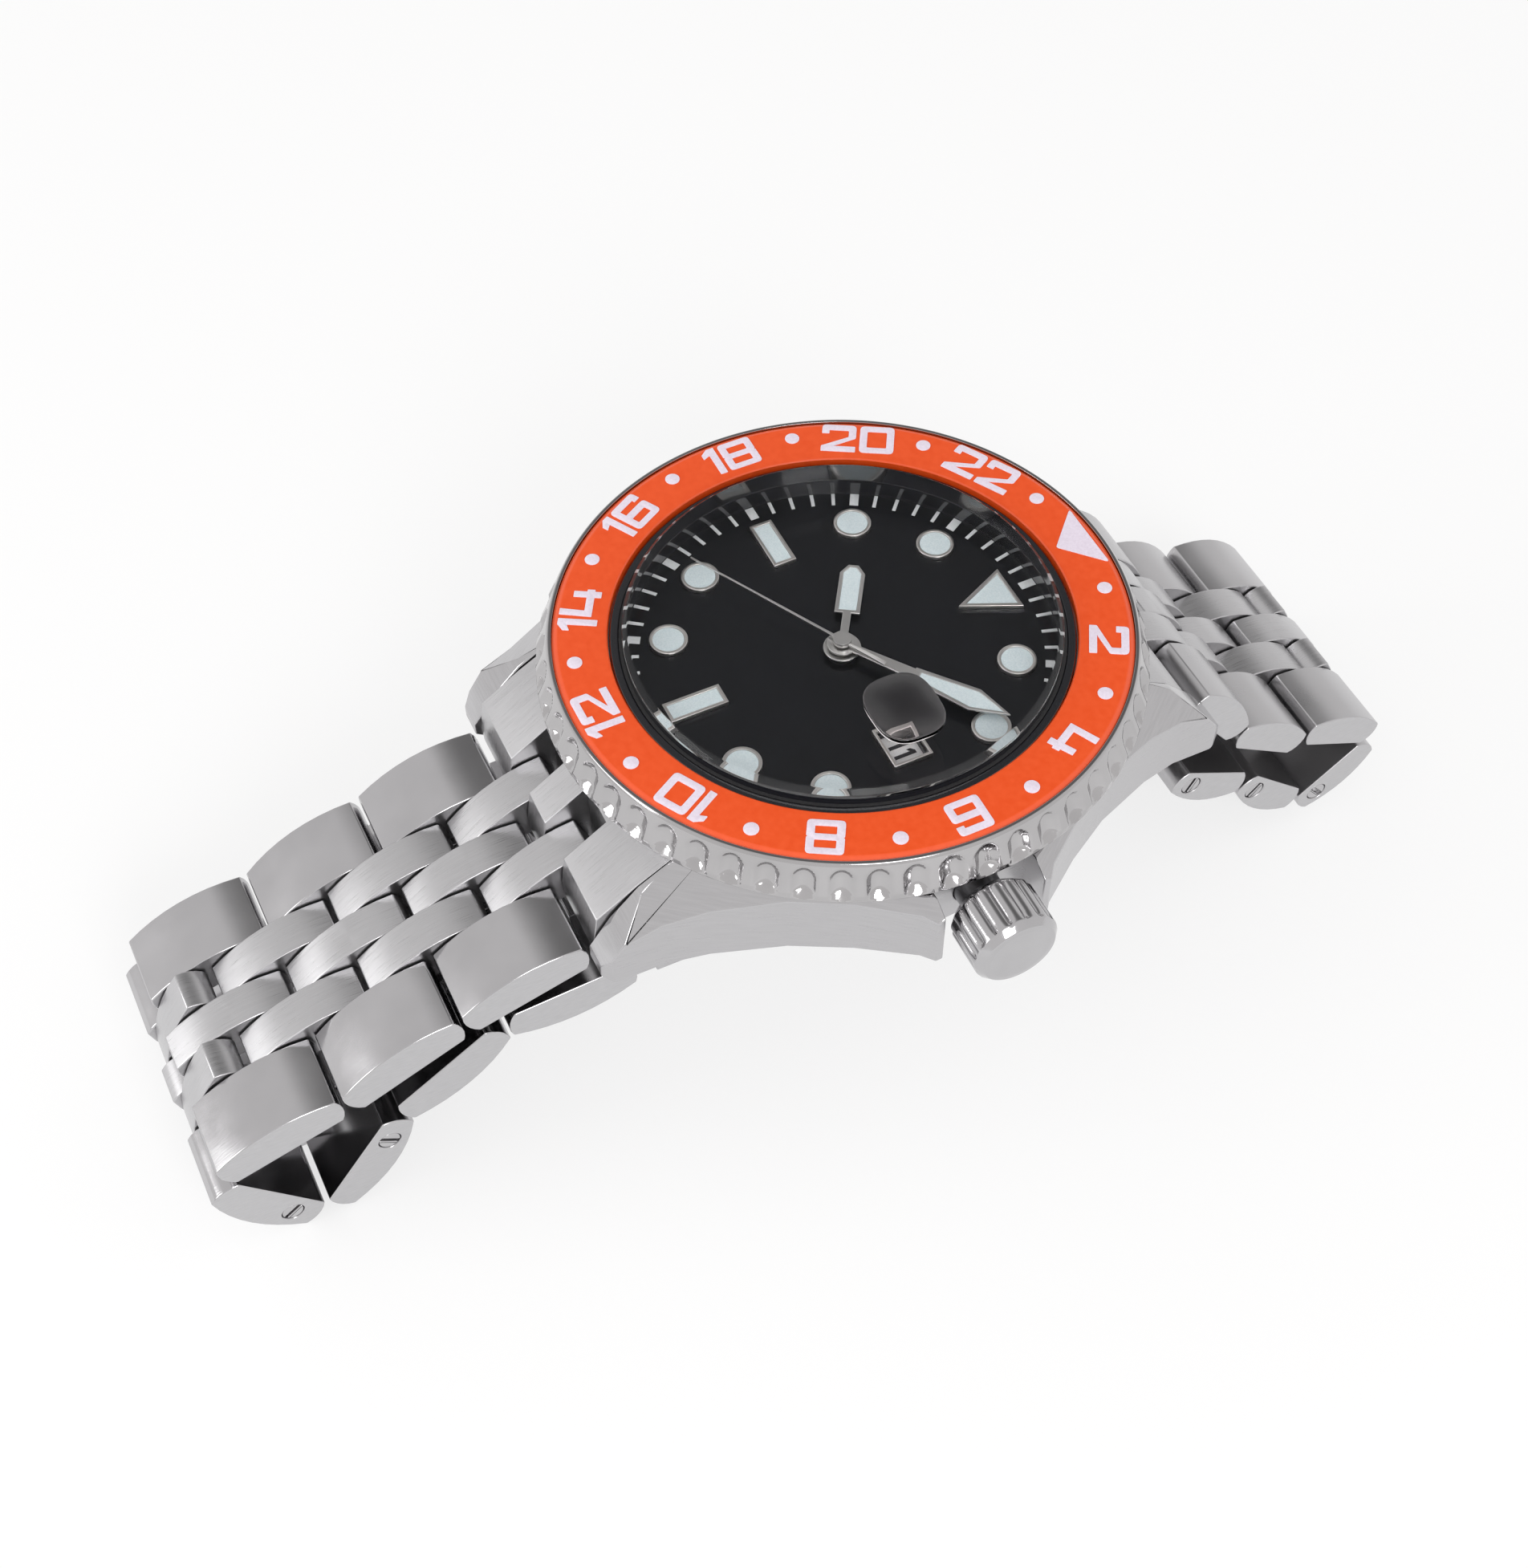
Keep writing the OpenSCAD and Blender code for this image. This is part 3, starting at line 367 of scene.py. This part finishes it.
def refined(node, materials, edge, segments, paint=None):
    """A CAD node's shape with its outer edges rounded by this many mm, which stands for the node.

    paint gives a face's material index from its shell's box, its normal and its middle, in mm.
    """
    bm = bmesh.new()
    bm.from_mesh(frame["nodes"][node].data)
    bmesh.ops.remove_doubles(bm, verts=bm.verts, dist=0.0008 * MM)
    bmesh.ops.dissolve_limit(
        bm, angle_limit=math.radians(0.5), verts=bm.verts, edges=bm.edges
    )
    crisp = [
        e
        for e in bm.edges
        if len(e.link_faces) == 2 and e.is_convex and e.calc_face_angle(0) > CRISP_ANGLE
    ]
    bmesh.ops.bevel(
        bm, geom=crisp, offset=edge * MM, offset_type="OFFSET", segments=segments,
        profile=0.5, affect="EDGES", clamp_overlap=False,
    )
    if paint:
        for shell in solids_of(bm):
            points = [v.co / MM for f in shell for v in f.verts]
            low = Vector(map(min, *points))
            high = Vector(map(max, *points))
            for face in shell:
                face.normal_update()
                face.material_index = paint(low, high, face.normal, face.calc_center_median() / MM)
    return finish_mesh(
        node + "_finished", bm, body_of(node), materials, [node]
    )


def dress(node, material):
    """A CAD node that is shown as it is, in a better material."""
    data = frame["nodes"][node].data
    data.materials.clear()
    data.materials.append(material)


def rounded(points, radius, steps=4):
    """A closed outline with its corners rounded. radius is one number, or one for each point."""
    outline, count = [], len(points)
    for i, point in enumerate(points):
        r = radius[i] if isinstance(radius, (list, tuple)) else radius
        here = Vector(point)
        before = (Vector(points[i - 1]) - here)
        after = (Vector(points[(i + 1) % count]) - here)
        if r <= 0:
            outline.append(here)
            continue
        half = before.angle(after) / 2
        cut = min(r / math.tan(half), before.length * 0.45, after.length * 0.45)
        start, end = here + before.normalized() * cut, here + after.normalized() * cut
        for k in range(steps + 1):
            t = k / steps
            outline.append((1 - t) ** 2 * start + 2 * t * (1 - t) * here + t * t * end)
    return outline


def subdivided(outline, longest):
    """An outline with no step longer than this."""
    result = []
    for i, point in enumerate(outline):
        after = outline[(i + 1) % len(outline)]
        parts = max(1, math.ceil((after - point).length / longest))
        result += [point.lerp(after, k / parts) for k in range(parts)]
    return result


def lathe(profile, steps, dent=None, place=None):
    """A bmesh turned round an axis from a closed (radius, height) profile.

    dent takes (angle, radius, height) and gives the radius at that angle. place takes
    (x, y, height) and gives the point in the row frame. Points on the axis become one vertex.
    """
    bm = bmesh.new()
    columns = []
    for r, z in profile:
        if r < 1e-6:
            columns.append([bm.verts.new((0, 0, z))] * steps)
            continue
        column = []
        for k in range(steps):
            angle = 2 * math.pi * k / steps
            rr = dent(angle, r, z) if dent else r
            column.append(bm.verts.new((rr * math.cos(angle), rr * math.sin(angle), z)))
        columns.append(column)
    for i, here in enumerate(columns):
        after = columns[(i + 1) % len(columns)]
        for k in range(steps):
            m = (k + 1) % steps
            ring = list(dict.fromkeys((here[k], here[m], after[m], after[k])))
            if len(ring) > 2:
                bm.faces.new(ring)
    for v in bm.verts:
        v.co = (Vector(place(*v.co)) if place else v.co) * MM
    return bm


def extruded(outlines, low, high, bevel=0.02):
    """A mesh of flat shapes with holes, drawn as closed outlines in the XY plane."""
    curve = bpy.data.curves.new("outline", "CURVE")
    curve.dimensions = "2D"
    curve.fill_mode = "BOTH"
    curve.extrude = ((high - low) / 2 - bevel) * MM
    curve.bevel_depth = bevel * MM
    curve.bevel_resolution = 1
    curve.offset = -bevel * MM
    for outline in outlines:
        spline = curve.splines.new("POLY")
        spline.points.add(len(outline) - 1)
        for slot, point in zip(spline.points, outline):
            slot.co = (point[0] * MM, point[1] * MM, 0, 1)
        spline.use_cyclic_u = True
    holder = bpy.data.objects.new("outline", curve)
    bpy.context.scene.collection.objects.link(holder)
    holder.location.z = (low + high) / 2 * MM
    bpy.context.view_layer.update()
    graph = bpy.context.evaluated_depsgraph_get()
    mesh = bpy.data.meshes.new_from_object(holder.evaluated_get(graph))
    mesh.transform(holder.matrix_world)
    bm = bmesh.new()
    bm.from_mesh(mesh)
    bmesh.ops.remove_doubles(bm, verts=bm.verts, dist=0.001 * MM)
    bpy.data.objects.remove(holder)
    bpy.data.curves.remove(curve)
    bpy.data.meshes.remove(mesh)
    return bm


def clockwise(points, degrees):
    """Points turned clockwise from 12 o'clock about the dial's axis."""
    turn = Matrix.Rotation(math.radians(-degrees), 2)
    return [turn @ Vector(p) for p in points]


# ---------------------------------------------------------------- bezel


def scallop_depth(angle, radius, height):
    """How deep the finger scallops cut at a point of the ring's flank: arches with round tops."""
    pitch = 2 * math.pi / SCALLOPS
    along = ((angle + pitch / 2) % pitch - pitch / 2) * radius
    arch_r, arch_top = 0.82, INSERT_TOP - 0.95
    above = max(0.0, height - (arch_top - arch_r * 0.4))
    away = math.hypot(along, above) / arch_r
    return 0.5 * max(0.0, 1 - away * away) ** 0.8


def bezel_ring():
    flank_top = INSERT_TOP - 0.22
    outline = rounded(
        [
            (RING_BORE_R, RING_BOTTOM), (RING_R - 0.3, RING_BOTTOM), (RING_R, RING_BOTTOM + 0.3),
            (RING_R, RING_BOTTOM + 0.75), (INSERT_R + 0.38, flank_top),
            (INSERT_R + 0.26, INSERT_TOP - 0.04), (INSERT_R + 0.03, INSERT_TOP - 0.04),
            (INSERT_R + 0.03, INSERT_BOTTOM), (RING_BORE_R, INSERT_BOTTOM),
        ],
        [0, 0.1, 0.12, 0.3, 0.1, 0.08, 0.03, 0, 0],
        3,
    )
    profile = subdivided(outline, 0.17)

    def dent(angle, radius, height):
        if height < RING_BOTTOM + 0.35 or height > flank_top or radius < INSERT_R + 0.3:
            return radius
        fade = min(1.0, (height - RING_BOTTOM - 0.35) / 0.5)
        return radius - scallop_depth(angle, radius, height) * fade

    bm = lathe(profile, SCALLOPS * 16, dent)
    return finish_mesh(
        "bezel_ring_finished", bm, "bezel", [BEZEL_STEEL], ["bezel_ring"], 50, False
    )


def bezel_insert():
    outline = rounded(
        [
            (INSERT_BORE_R, INSERT_BOTTOM), (INSERT_R, INSERT_BOTTOM),
            (INSERT_R, INSERT_TOP - 0.2), (INSERT_R - 0.32, INSERT_TOP - 0.02),
            (INSERT_BORE_R + 0.1, INSERT_TOP - 0.02), (INSERT_BORE_R, INSERT_TOP - 0.1),
        ],
        [0, 0.05, 0.08, 0.5, 0.1, 0.05],
    )
    bm = lathe(outline, 240)
    return finish_mesh(
        "bezel_insert_finished", bm, "bezel", [ORANGE], ["bezel_insert"]
    )


HALF_W = NUMERAL_H * 0.46
HALF_H = NUMERAL_H / 2


def glyph(digit):
    """The outlines of one square-shouldered digit, outer shape first, then its holes."""
    a, b, t = HALF_W, HALF_H, NUMERAL_STROKE
    box = [(-a, -b), (a, -b), (a, b), (-a, b)]
    if digit == 0:
        hole = [(-a + t, -b + t), (a - t, -b + t), (a - t, b - t), (-a + t, b - t)]
        return [rounded(box, 0.36), rounded(hole, 0.1)]
    if digit == 1:
        stem = [
            (t / 2, -b), (t / 2, b), (-t / 2, b), (-t / 2 - 0.5, b - 0.4),
            (-t / 2 - 0.5, b - 0.85), (-t / 2, b - 0.62), (-t / 2, -b),
        ]
        return [rounded(stem, 0.05)]
    if digit == 2:
        path = [
            (-a, -b), (a, -b), (a, -b + t), (-a + 0.85, -b + t), (a, 0.05), (a, b), (-a, b),
            (-a, b - 0.85), (-a + t, b - 0.85), (-a + t, b - t), (a - t, b - t),
            (a - t, 0.16), (-a, -b + 0.5),
        ]
        return [rounded(path, [0.06, 0.06, 0.06, 0, 0.2, 0.36, 0.3, 0.06, 0.06, 0, 0.1, 0.1, 0.1])]
    if digit == 4:
        stem = [a - t - 0.18, a - 0.18]
        path = [
            (stem[0], -b), (stem[1], -b), (stem[1], -0.85), (a, -0.85), (a, -0.85 + t),
            (stem[1], -0.85 + t), (stem[1], 0.55), (stem[0], 0.55), (stem[0], -0.85 + t),
            (-a + t, -0.85 + t), (-a + t + 0.1, b), (-a + 0.08, b), (-a, -0.85), (stem[0], -0.85),
        ]
        return [rounded(path, 0.05)]
    if digit == 6:
        top = 0.26
        path = [
            (-a, -b), (a, -b), (a, top), (-a + t, top), (-a + t, b - t), (a - t, b - t),
            (a - t, b - t - 0.22), (a, b - t - 0.22), (a, b), (-a, b),
        ]
        hole = [(-a + t, -b + t * 0.9), (a - t, -b + t * 0.9), (a - t, top - t), (-a + t, top - t)]
        return [
            rounded(path, [0.34, 0.34, 0.3, 0, 0, 0, 0.04, 0.04, 0.3, 0.34]),
            rounded(hole, 0.08),
        ]
    waist = 0.07
    path = [
        (-a, -b), (a, -b), (a, -waist), (a - 0.09, 0), (a, waist), (a, b), (-a, b),
        (-a, waist), (-a + 0.09, 0), (-a, -waist),
    ]
    holes = [
        [(-a + t, s * t * 0.45), (a - t, s * t * 0.45), (a - t, s * (b - t * 0.9)),
         (-a + t, s * (b - t * 0.9))]
        for s in (-1, 1)
    ]
    return [rounded(path, [0.3, 0.3, 0.12, 0, 0.12, 0.3, 0.3, 0.12, 0, 0.12])] + [
        rounded(h, 0.07) for h in holes
    ]


def number_outlines(number):
    """The outlines of a one or two digit number, centred."""
    digits = [int(c) for c in str(number)]
    widths = [NUMERAL_STROKE + 0.5 if d == 1 else 2 * HALF_W for d in digits]
    gap = 0.26
    x = -(sum(widths) + gap * (len(digits) - 1)) / 2
    shapes = []
    for digit, width in zip(digits, widths):
        middle = x + width / 2 + (0.25 if digit == 1 else 0)
        shapes += [[Vector((p[0] + middle, p[1])) for p in outline] for outline in glyph(digit)]
        x += width + gap
    return shapes


def circle_points(x, y, r):
    """Points round a circle."""
    steps = 28
    turns = [2 * math.pi * k / steps for k in range(steps)]
    return [Vector((x + r * math.cos(t), y + r * math.sin(t))) for t in turns]


def bezel_numerals():
    shapes = []
    for number in range(2, 23, 2):
        for outline in number_outlines(number):
            lifted = [(p.x, p.y + NUMERAL_RING_R) for p in outline]
            shapes.append(clockwise(lifted, 15 * number))
    for number in range(1, 24, 2):
        shapes.append(clockwise(circle_points(0, NUMERAL_RING_R + 0.33, 0.5), 15 * number))
    arrow = [(-2.7, INSERT_R - 0.5), (2.7, INSERT_R - 0.5), (0, INSERT_BORE_R + 0.6)]
    shapes.append(rounded(arrow, [0.12, 0.12, 0.2]))
    bm = extruded(shapes, INSERT_TOP - 0.04, INSERT_TOP + 0.025, 0.012)
    return finish_mesh(
        "bezel_numerals_finished", bm, "bezel", [NUMERAL_PAINT], ["bezel_numerals"]
    )


# ---------------------------------------------------------------- crystal and dial


def crystal():
    r, low, high = crystal_high.x, crystal_low.z, crystal_high.z
    outline = rounded(
        [
            (0, low), (r, low), (r, INSERT_TOP + 0.1), (r, high - 0.36), (r - 0.36, high),
            (0, high),
        ],
        [0, 0.04, 0, 0.12, 0.15, 0],
    )
    bm = lathe(outline, 192)
    # The crystal's seated rim is painted black as painted shade, for the dark line round the
    # crystal's edge
    for face in bm.faces:
        middle = face.calc_center_median() / MM
        seated = middle.z < INSERT_TOP + 0.1 and math.hypot(middle.x, middle.y) > r - 0.1
        face.material_index = 1 if seated else 0
    return finish_mesh(
        "crystal_finished", bm, "case", [CRYSTAL, REHAUT_AND_SHADE_BLACK], ["crystal"], 60,
        False,
    )


def date_lens():
    """A low dome on a rounded oblong, glued to the crystal over the date."""
    middle = (lens_low + lens_high) / 2
    half = (lens_high - lens_low) / 2
    base, rise = lens_low.z, lens_high.z - lens_low.z
    rings = [(1.0, 0.0), (1.0, 0.34), (0.985, 0.42), (0.95, 0.47)]
    rings += [(0.95 * (1 - k / 7), 0.47 + 0.53 * (1 - (1 - k / 7) ** 2)) for k in range(1, 7)]
    steps = 72
    bm = bmesh.new()
    loops = []
    for share, lift in rings:
        loop = []
        for k in range(steps):
            t = 2 * math.pi * k / steps
            c, s = math.cos(t), math.sin(t)
            swell = (abs(c) ** 2.8 + abs(s) ** 2.8) ** (-1 / 2.8)
            loop.append(
                bm.verts.new(
                    (
                        (middle.x + half.x * share * swell * c) * MM,
                        (middle.y + half.y * share * swell * s) * MM,
                        (base + rise * lift) * MM,
                    )
                )
            )
        loops.append(loop)
    for here, after in zip(loops, loops[1:]):
        for k in range(steps):
            m = (k + 1) % steps
            bm.faces.new((here[k], here[m], after[m], after[k]))
    top = bm.verts.new((middle.x * MM, middle.y * MM, (base + rise) * MM))
    for k in range(steps):
        bm.faces.new((loops[-1][k], loops[-1][(k + 1) % steps], top))
    bm.faces.new(reversed(loops[0]))
    return finish_mesh(
        "date_magnifier_finished", bm, "case", [LENS], ["date_magnifier"], 45,
        False,
    )


def minute_track():
    """The printed minute track, with a wide block at every hour."""
    shapes = []
    for minute in range(60):
        wide = 0.3 if minute % 5 == 0 else 0.12
        tick = [(-wide, TRACK_R[0]), (wide, TRACK_R[0]), (wide, TRACK_R[1]), (-wide, TRACK_R[1])]
        shapes.append(clockwise(tick, 6 * minute))
    low, high = size_of("dial_printing")
    bm = extruded(shapes, low.z, high.z, 0.004)
    return finish_mesh(
        "dial_printing_finished", bm, "case", [PRINT_WHITE], ["dial_printing"]
    )


def date_digits():
    """The date's two figures, printed on the disc under the window."""
    flag = [
        (0.14, -0.75), (0.14, 0.75), (-0.1, 0.75), (-0.34, 0.5), (-0.34, 0.25), (-0.12, 0.42),
        (-0.12, -0.75),
    ]
    shapes = [[Vector((DATE_X + s + p[0], p[1])) for p in flag] for s in (-0.36, 0.46)]
    bm = extruded(shapes, DATE_DISC_TOP - 0.01, DATE_DISC_TOP + 0.03, 0.004)
    return finish_mesh("date_figures", bm, "date", [DATE_INK])


# ---------------------------------------------------------------- crown


def crown():
    length = crown_high.x - crown_low.x
    r = CROWN_R
    outline = rounded(
        [
            (TUBE_HOLE_R, TUBE_HOLE_DEPTH), (TUBE_HOLE_R, 0), (r - 0.55, 0), (r, 0.55),
            (r, length - 0.55), (r - 0.42, length - 0.05), (r - 0.8, length), (0, length - 0.02),
            (0, TUBE_HOLE_DEPTH),
        ],
        [0, 0.06, 0.15, 0.2, 0.2, 0.2, 0.1, 0, 0],
    )
    profile = subdivided(outline, 0.3)

    def dent(angle, radius, height):
        edge = min(height - 0.25, length - 0.5 - height)
        if radius < r - 0.4 or edge <= 0:
            return radius
        lobe = abs(math.cos(angle * CROWN_FLUTES / 2)) ** 0.55
        return radius - 0.26 * (1 - lobe) * min(1.0, edge / 0.3)

    def place(x, y, z):
        return (crown_low.x + z, x, CROWN_Z + y)

    bm = lathe(profile, CROWN_FLUTES * 14, dent, place)
    return finish_mesh(
        "crown_finished", bm, "crown", [CROWN_STEEL], ["crown"], 50, False
    )


# ---------------------------------------------------------------- bracelet


def paint_wide(low, high, normal, middle):
    """Polished outer links, a brushed centre link, satin sides and bright pins."""
    width = high.x - low.x
    if width < LINK_WIDTHS[0] or width > LINK_WIDTHS[1]:
        return 3
    if abs(normal.x) > 0.8:
        return 2
    return 0 if max(abs(low.x), abs(high.x)) > OUTER_LINK_X else 1


def paint_case(low, high, normal, middle):
    """Steel, with painted shade: the neck is painted black where it shows round the crystal, for
    the dark gap between crystal and insert.
    """
    return 1 if math.hypot(middle.x, middle.y) < NECK_R and middle.z > crystal_low.z else 0


def bracelet():
    for node in frame["nodes"]:
        if node.startswith("wide_"):
            face = POLISHED_LINK if node.startswith("wide_6") else SOFT_LINK
            refined(node, [face, BRUSHED_LINK, SATIN_SIDE, PIN_STEEL], 0.11, 3, paint_wide)
        elif node.startswith("narrow_"):
            refined(node, [BRUSHED_LINK], 0.09, 2)
    for node in ("end_link_6", "end_link_12"):
        refined(node, [BRUSHED_LINK], 0.08, 2)


# ---------------------------------------------------------------- assembly


def assembly():
    bezel_ring()
    bezel_insert()
    bezel_numerals()
    crystal()
    date_lens()
    minute_track()
    date_digits()
    crown()
    bracelet()
    # The case neck round the crystal is painted black, as painted shade
    refined("mid_case", [CASE_STEEL, REHAUT_AND_SHADE_BLACK], 0.12, 3, paint_case)
    refined("case_back", [BACK_STEEL], 0.08, 2)
    refined("clasp_cover", [CLASP_STEEL], 0.1, 2)
    refined("clasp_middle_blade", [BLADE_STEEL], 0.06, 2)
    refined("clasp_inner_blade", [BLADE_STEEL], 0.06, 2)
    refined("dial_markers", [MARKER_METAL], 0.05, 2)
    refined("hour_hand", [HAND_METAL], 0.04, 2)
    refined("minute_hand", [HAND_METAL], 0.04, 2)
    refined("seconds_hand", [HAND_METAL], 0.02, 2)
    for node, material in (
        ("case_back_gasket", RUBBER),
        ("bezel_click_spring", SPRING_STEEL),
        ("crystal_gasket", RUBBER),
        ("rehaut_ring", REHAUT_AND_SHADE_BLACK),
        ("dial", DIAL_BLACK),
        ("dial_lume", LUME),
        ("date_disc", DATE_WHITE),
        ("hand_lume_hour", LUME),
        ("hand_lume_minute", LUME),
        ("movement", MOVEMENT),
        ("balance_wheel", MOVEMENT),
        ("rotor", SPRING_STEEL),
        ("winding_stem", SPRING_STEEL),
        ("crown_tube", SPRING_STEEL),
        ("crown_gasket", RUBBER),
        ("spring_bars", SPRING_STEEL),
    ):
        dress(node, material)


# ---------------------------------------------------------------- stage, light and camera

CAMERA_AT = (93.109, -49.089, 134.960)
CAMERA_AXES = (
    (0.42875289, 0.903402, -0.0059821),
    (-0.71094573, 0.34148437, 0.61477199),
    (0.55742904, -0.25933232, 0.7886822),
)
CAMERA_LENS = 55.563
LIGHTS_AIM = Vector((0, 0, 10))


def camera():
    data = bpy.data.cameras.new("camera")
    data.lens = CAMERA_LENS
    data.sensor_width = 36
    data.clip_start, data.clip_end = 0.005, 20
    holder = bpy.data.objects.new("camera", data)
    bpy.context.scene.collection.objects.link(holder)
    turn = Matrix(CAMERA_AXES).transposed().to_4x4()
    holder.matrix_world = Matrix.Translation(Vector(CAMERA_AT) * MM) @ turn
    bpy.context.scene.camera = holder


def softbox(name, place, size, watts):
    """A rectangular light, placed and sized in mm, that faces the watch."""
    data = bpy.data.lights.new(name, "AREA")
    data.shape = "RECTANGLE"
    data.size, data.size_y = size[0] * MM, size[1] * MM
    data.energy = watts
    holder = bpy.data.objects.new(name, data)
    bpy.context.scene.collection.objects.link(holder)
    holder.location = Vector(place) * MM
    holder.rotation_mode = "QUATERNION"
    holder.rotation_quaternion = (LIGHTS_AIM - Vector(place)).to_track_quat("-Z", "Y")


def studio():
    """A pale floor in a bright soft room, with one dark panel high up behind 9 o'clock."""
    world = bpy.data.worlds.new("room")
    bpy.context.scene.world = world
    bpy.context.scene.view_settings.view_transform = "Standard"
    world.use_nodes = True
    nodes, links = world.node_tree.nodes, world.node_tree.links
    coordinate = nodes.new("ShaderNodeTexCoord")
    facing = nodes.new("ShaderNodeVectorMath")
    facing.operation = "DOT_PRODUCT"
    facing.inputs[1].default_value = Vector((-0.52, 0.36, 0.77)).normalized()
    links.new(coordinate.outputs["Generated"], facing.inputs[0])
    ramp = nodes.new("ShaderNodeValToRGB")
    stops = ((0.0, 0.95), (0.5, 0.9), (0.945, 0.84), (0.986, 0.3), (1.0, 0.2))
    while len(ramp.color_ramp.elements) < len(stops):
        ramp.color_ramp.elements.new(0.5)
    for element, (place, grey) in zip(ramp.color_ramp.elements, stops):
        element.position = place
        element.color = (grey, grey * 0.99, grey * 0.985, 1)
    shift = nodes.new("ShaderNodeMapRange")
    shift.inputs["From Min"].default_value = -1
    links.new(facing.outputs["Value"], shift.inputs["Value"])
    links.new(shift.outputs["Result"], ramp.inputs["Fac"])
    background = nodes["Background"]
    links.new(ramp.outputs["Color"], background.inputs["Color"])
    background.inputs["Strength"].default_value = 1.0

    softbox("key_light", (260, -40, 200), (120, 120), 0.35)
    softbox("fill_light", (-60, -300, 120), (160, 120), 0.25)

    low = cad_box[0].z
    bpy.ops.mesh.primitive_plane_add(size=4, location=(0, 0, low - 0.0001))
    floor = bpy.context.object
    floor.name = "floor"
    paper = Finish("floor_paper", (0.3, 0.3, 0.3), 0.0, 0.9)
    Finish.set(paper.shader, "Emission Color", (1, 1, 1, 1))
    Finish.set(paper.shader, "Emission Strength", 0.66)
    floor.data.materials.append(paper.material)


camera()
studio()
assembly()
